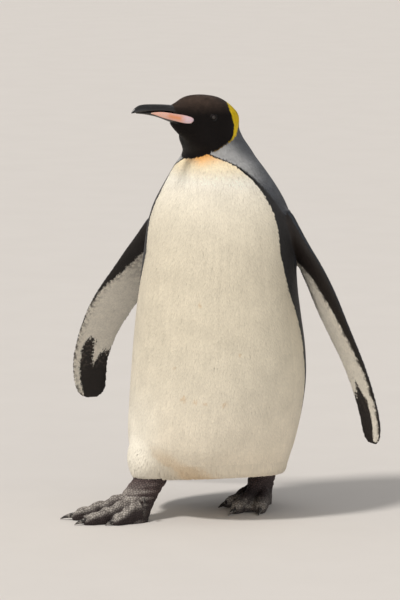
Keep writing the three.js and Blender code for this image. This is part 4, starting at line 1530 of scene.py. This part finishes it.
def add_surroundings():
    right, _, back = view_axes()
    toward = np.array([back[0], back[1], 0])
    add_key(-2.0 * right + 1.5 * toward + 3.3 * UP)
    add_light("fill", 1.6 * right + 3.2 * toward + 0.7 * UP, 2.4, 12, (0.94, 0.97, 1))
    world = bpy.data.worlds.new("studio")
    world.use_nodes = True
    world.node_tree.nodes["Background"].inputs["Color"].default_value = (0.86, 0.85, 0.84, 1)
    world.node_tree.nodes["Background"].inputs["Strength"].default_value = 0.6
    bpy.context.scene.world = world
    bpy.context.scene.view_settings.view_transform = "Standard"
    square = np.array([[-1, -1, 0], [1, -1, 0], [1, 1, 0], [-1, 1, 0]]) * FLOOR_REACH
    floor = build("floor", square, [np.array([[0, 1, 2, 3]])])
    floor.location.z = -SHIFT[2]
    material = bpy.data.materials.new("floor")
    material.use_nodes = True
    tree = material.node_tree
    shader = tree.nodes["Principled BSDF"]
    place = add(tree, "ShaderNodeTexCoord").outputs["Object"]
    cloud = noise_of(tree, place, 6)
    tone = add(tree, "ShaderNodeValToRGB", [("Fac", cloud)])
    tone.color_ramp.elements[0].color = (0.625, 0.592, 0.56, 1)
    tone.color_ramp.elements[1].color = (0.663, 0.63, 0.597, 1)
    tree.links.new(tone.outputs["Color"], shader.inputs["Base Color"])
    shader.inputs["Roughness"].default_value = 0.9
    floor.data.materials.append(material)
    floor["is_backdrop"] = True


# ---------------------------------------------------------------- putting it together

FLESH_NODES = ["head", "neck", "trunk", "tail"]
FLESH_NODES += [f"{part}_{side}" for part in ("flipper", "leg", "foot") for side in ("left", "right")]


def add_skin(rng):
    """The one skin, with bare feet and lids, and what the coat needs to grow on it."""
    points, quads, edges, part = body_skin()
    feet, foot_quads, foot_colours = foot_skin(rng)
    rims = [lids(1), lids(-1)]
    under = part_markings(points, part) * 0.9
    lid_colours = [np.tile(LID_DARK, (len(rim), 1)) for rim, _ in rims]
    together, blocks = merged([(points, [quads]), (feet, [foot_quads]), *rims])
    skin = build("skin", together, blocks)
    paint(skin, np.clip(np.concatenate([under, foot_colours, *lid_colours]), 0, 1))
    as_piece(skin, skin_material("coat_skin", 60, 0.3), "foot_skin", *FLESH_NODES)
    skin.data.materials.append(skin_material("bare_skin", 150, 0.5, Specular_IOR_Level=0.2))
    index = np.zeros(len(skin.data.polygons), np.int32)
    index[len(quads) :] = 1
    skin.data.polygons.foreach_set("material_index", index)
    return points, quads, edges, part


def main():
    rng = np.random.default_rng(SEED)
    add_camera()
    add_surroundings()
    skin = add_skin(rng)
    coat = {
        "head": feather_material("head_feathers", 0.2, (0.42, 0.62), Specular_IOR_Level=0.12),
        "dark": feather_material("dark_feathers", 0.16, (0.42, 0.62), Specular_IOR_Level=0.35),
        "pale": feather_material("pale_feathers", 0.06, (0.55, 0.75), Sheen_Weight=0.1, Sheen_Roughness=0.5),
    }
    for name, corners, shading, colours, roots in grow_coat(*skin, rng):
        coat_piece(name, corners, shading, colours, roots, coat[COAT_KINDS.get(name, "dark")])
    tail_feathers(skin_material("quills", 120, 0.3))
    horn = horn_material("bill_horn", (0.22, 0.42), 9, Coat_Weight=0.25, Coat_Roughness=0.2)
    bill_half("bill_upper", UPPER_BILL, 48, True, (tint(14, 12, 12), tint(46, 44, 46)), horn)
    bill_half("bill_lower", LOWER_BILL, 40, False, (tint(26, 21, 19), tint(62, 50, 42)), horn)
    waxy = {"Coat_Weight": 0.2, "Subsurface_Weight": 0.15, "Subsurface_Scale": 0.003}
    plate = marked("bill_plate", 0.08, (0.3, 0.45), 300, **waxy)[0]
    wet = marked("eye", 0.1, (0.14, 0.22), 400, Coat_Weight=0.25, Coat_Roughness=0.08)[0]
    for name, side in (("left", 1), ("right", -1)):
        bill_plate(f"bill_plate_{name}", side, plate)
        eye(f"eye_{name}", side, wet)
    claw = skin_material("claw_horn", 200, 0.25)
    for name, leg in LEGS.items():
        claws(name, leg, claw)


main()
boxes = {"cad": cad_box, "visual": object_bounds()}
sizes = {name: [list(corner) for corner in box] for name, box in boxes.items()}
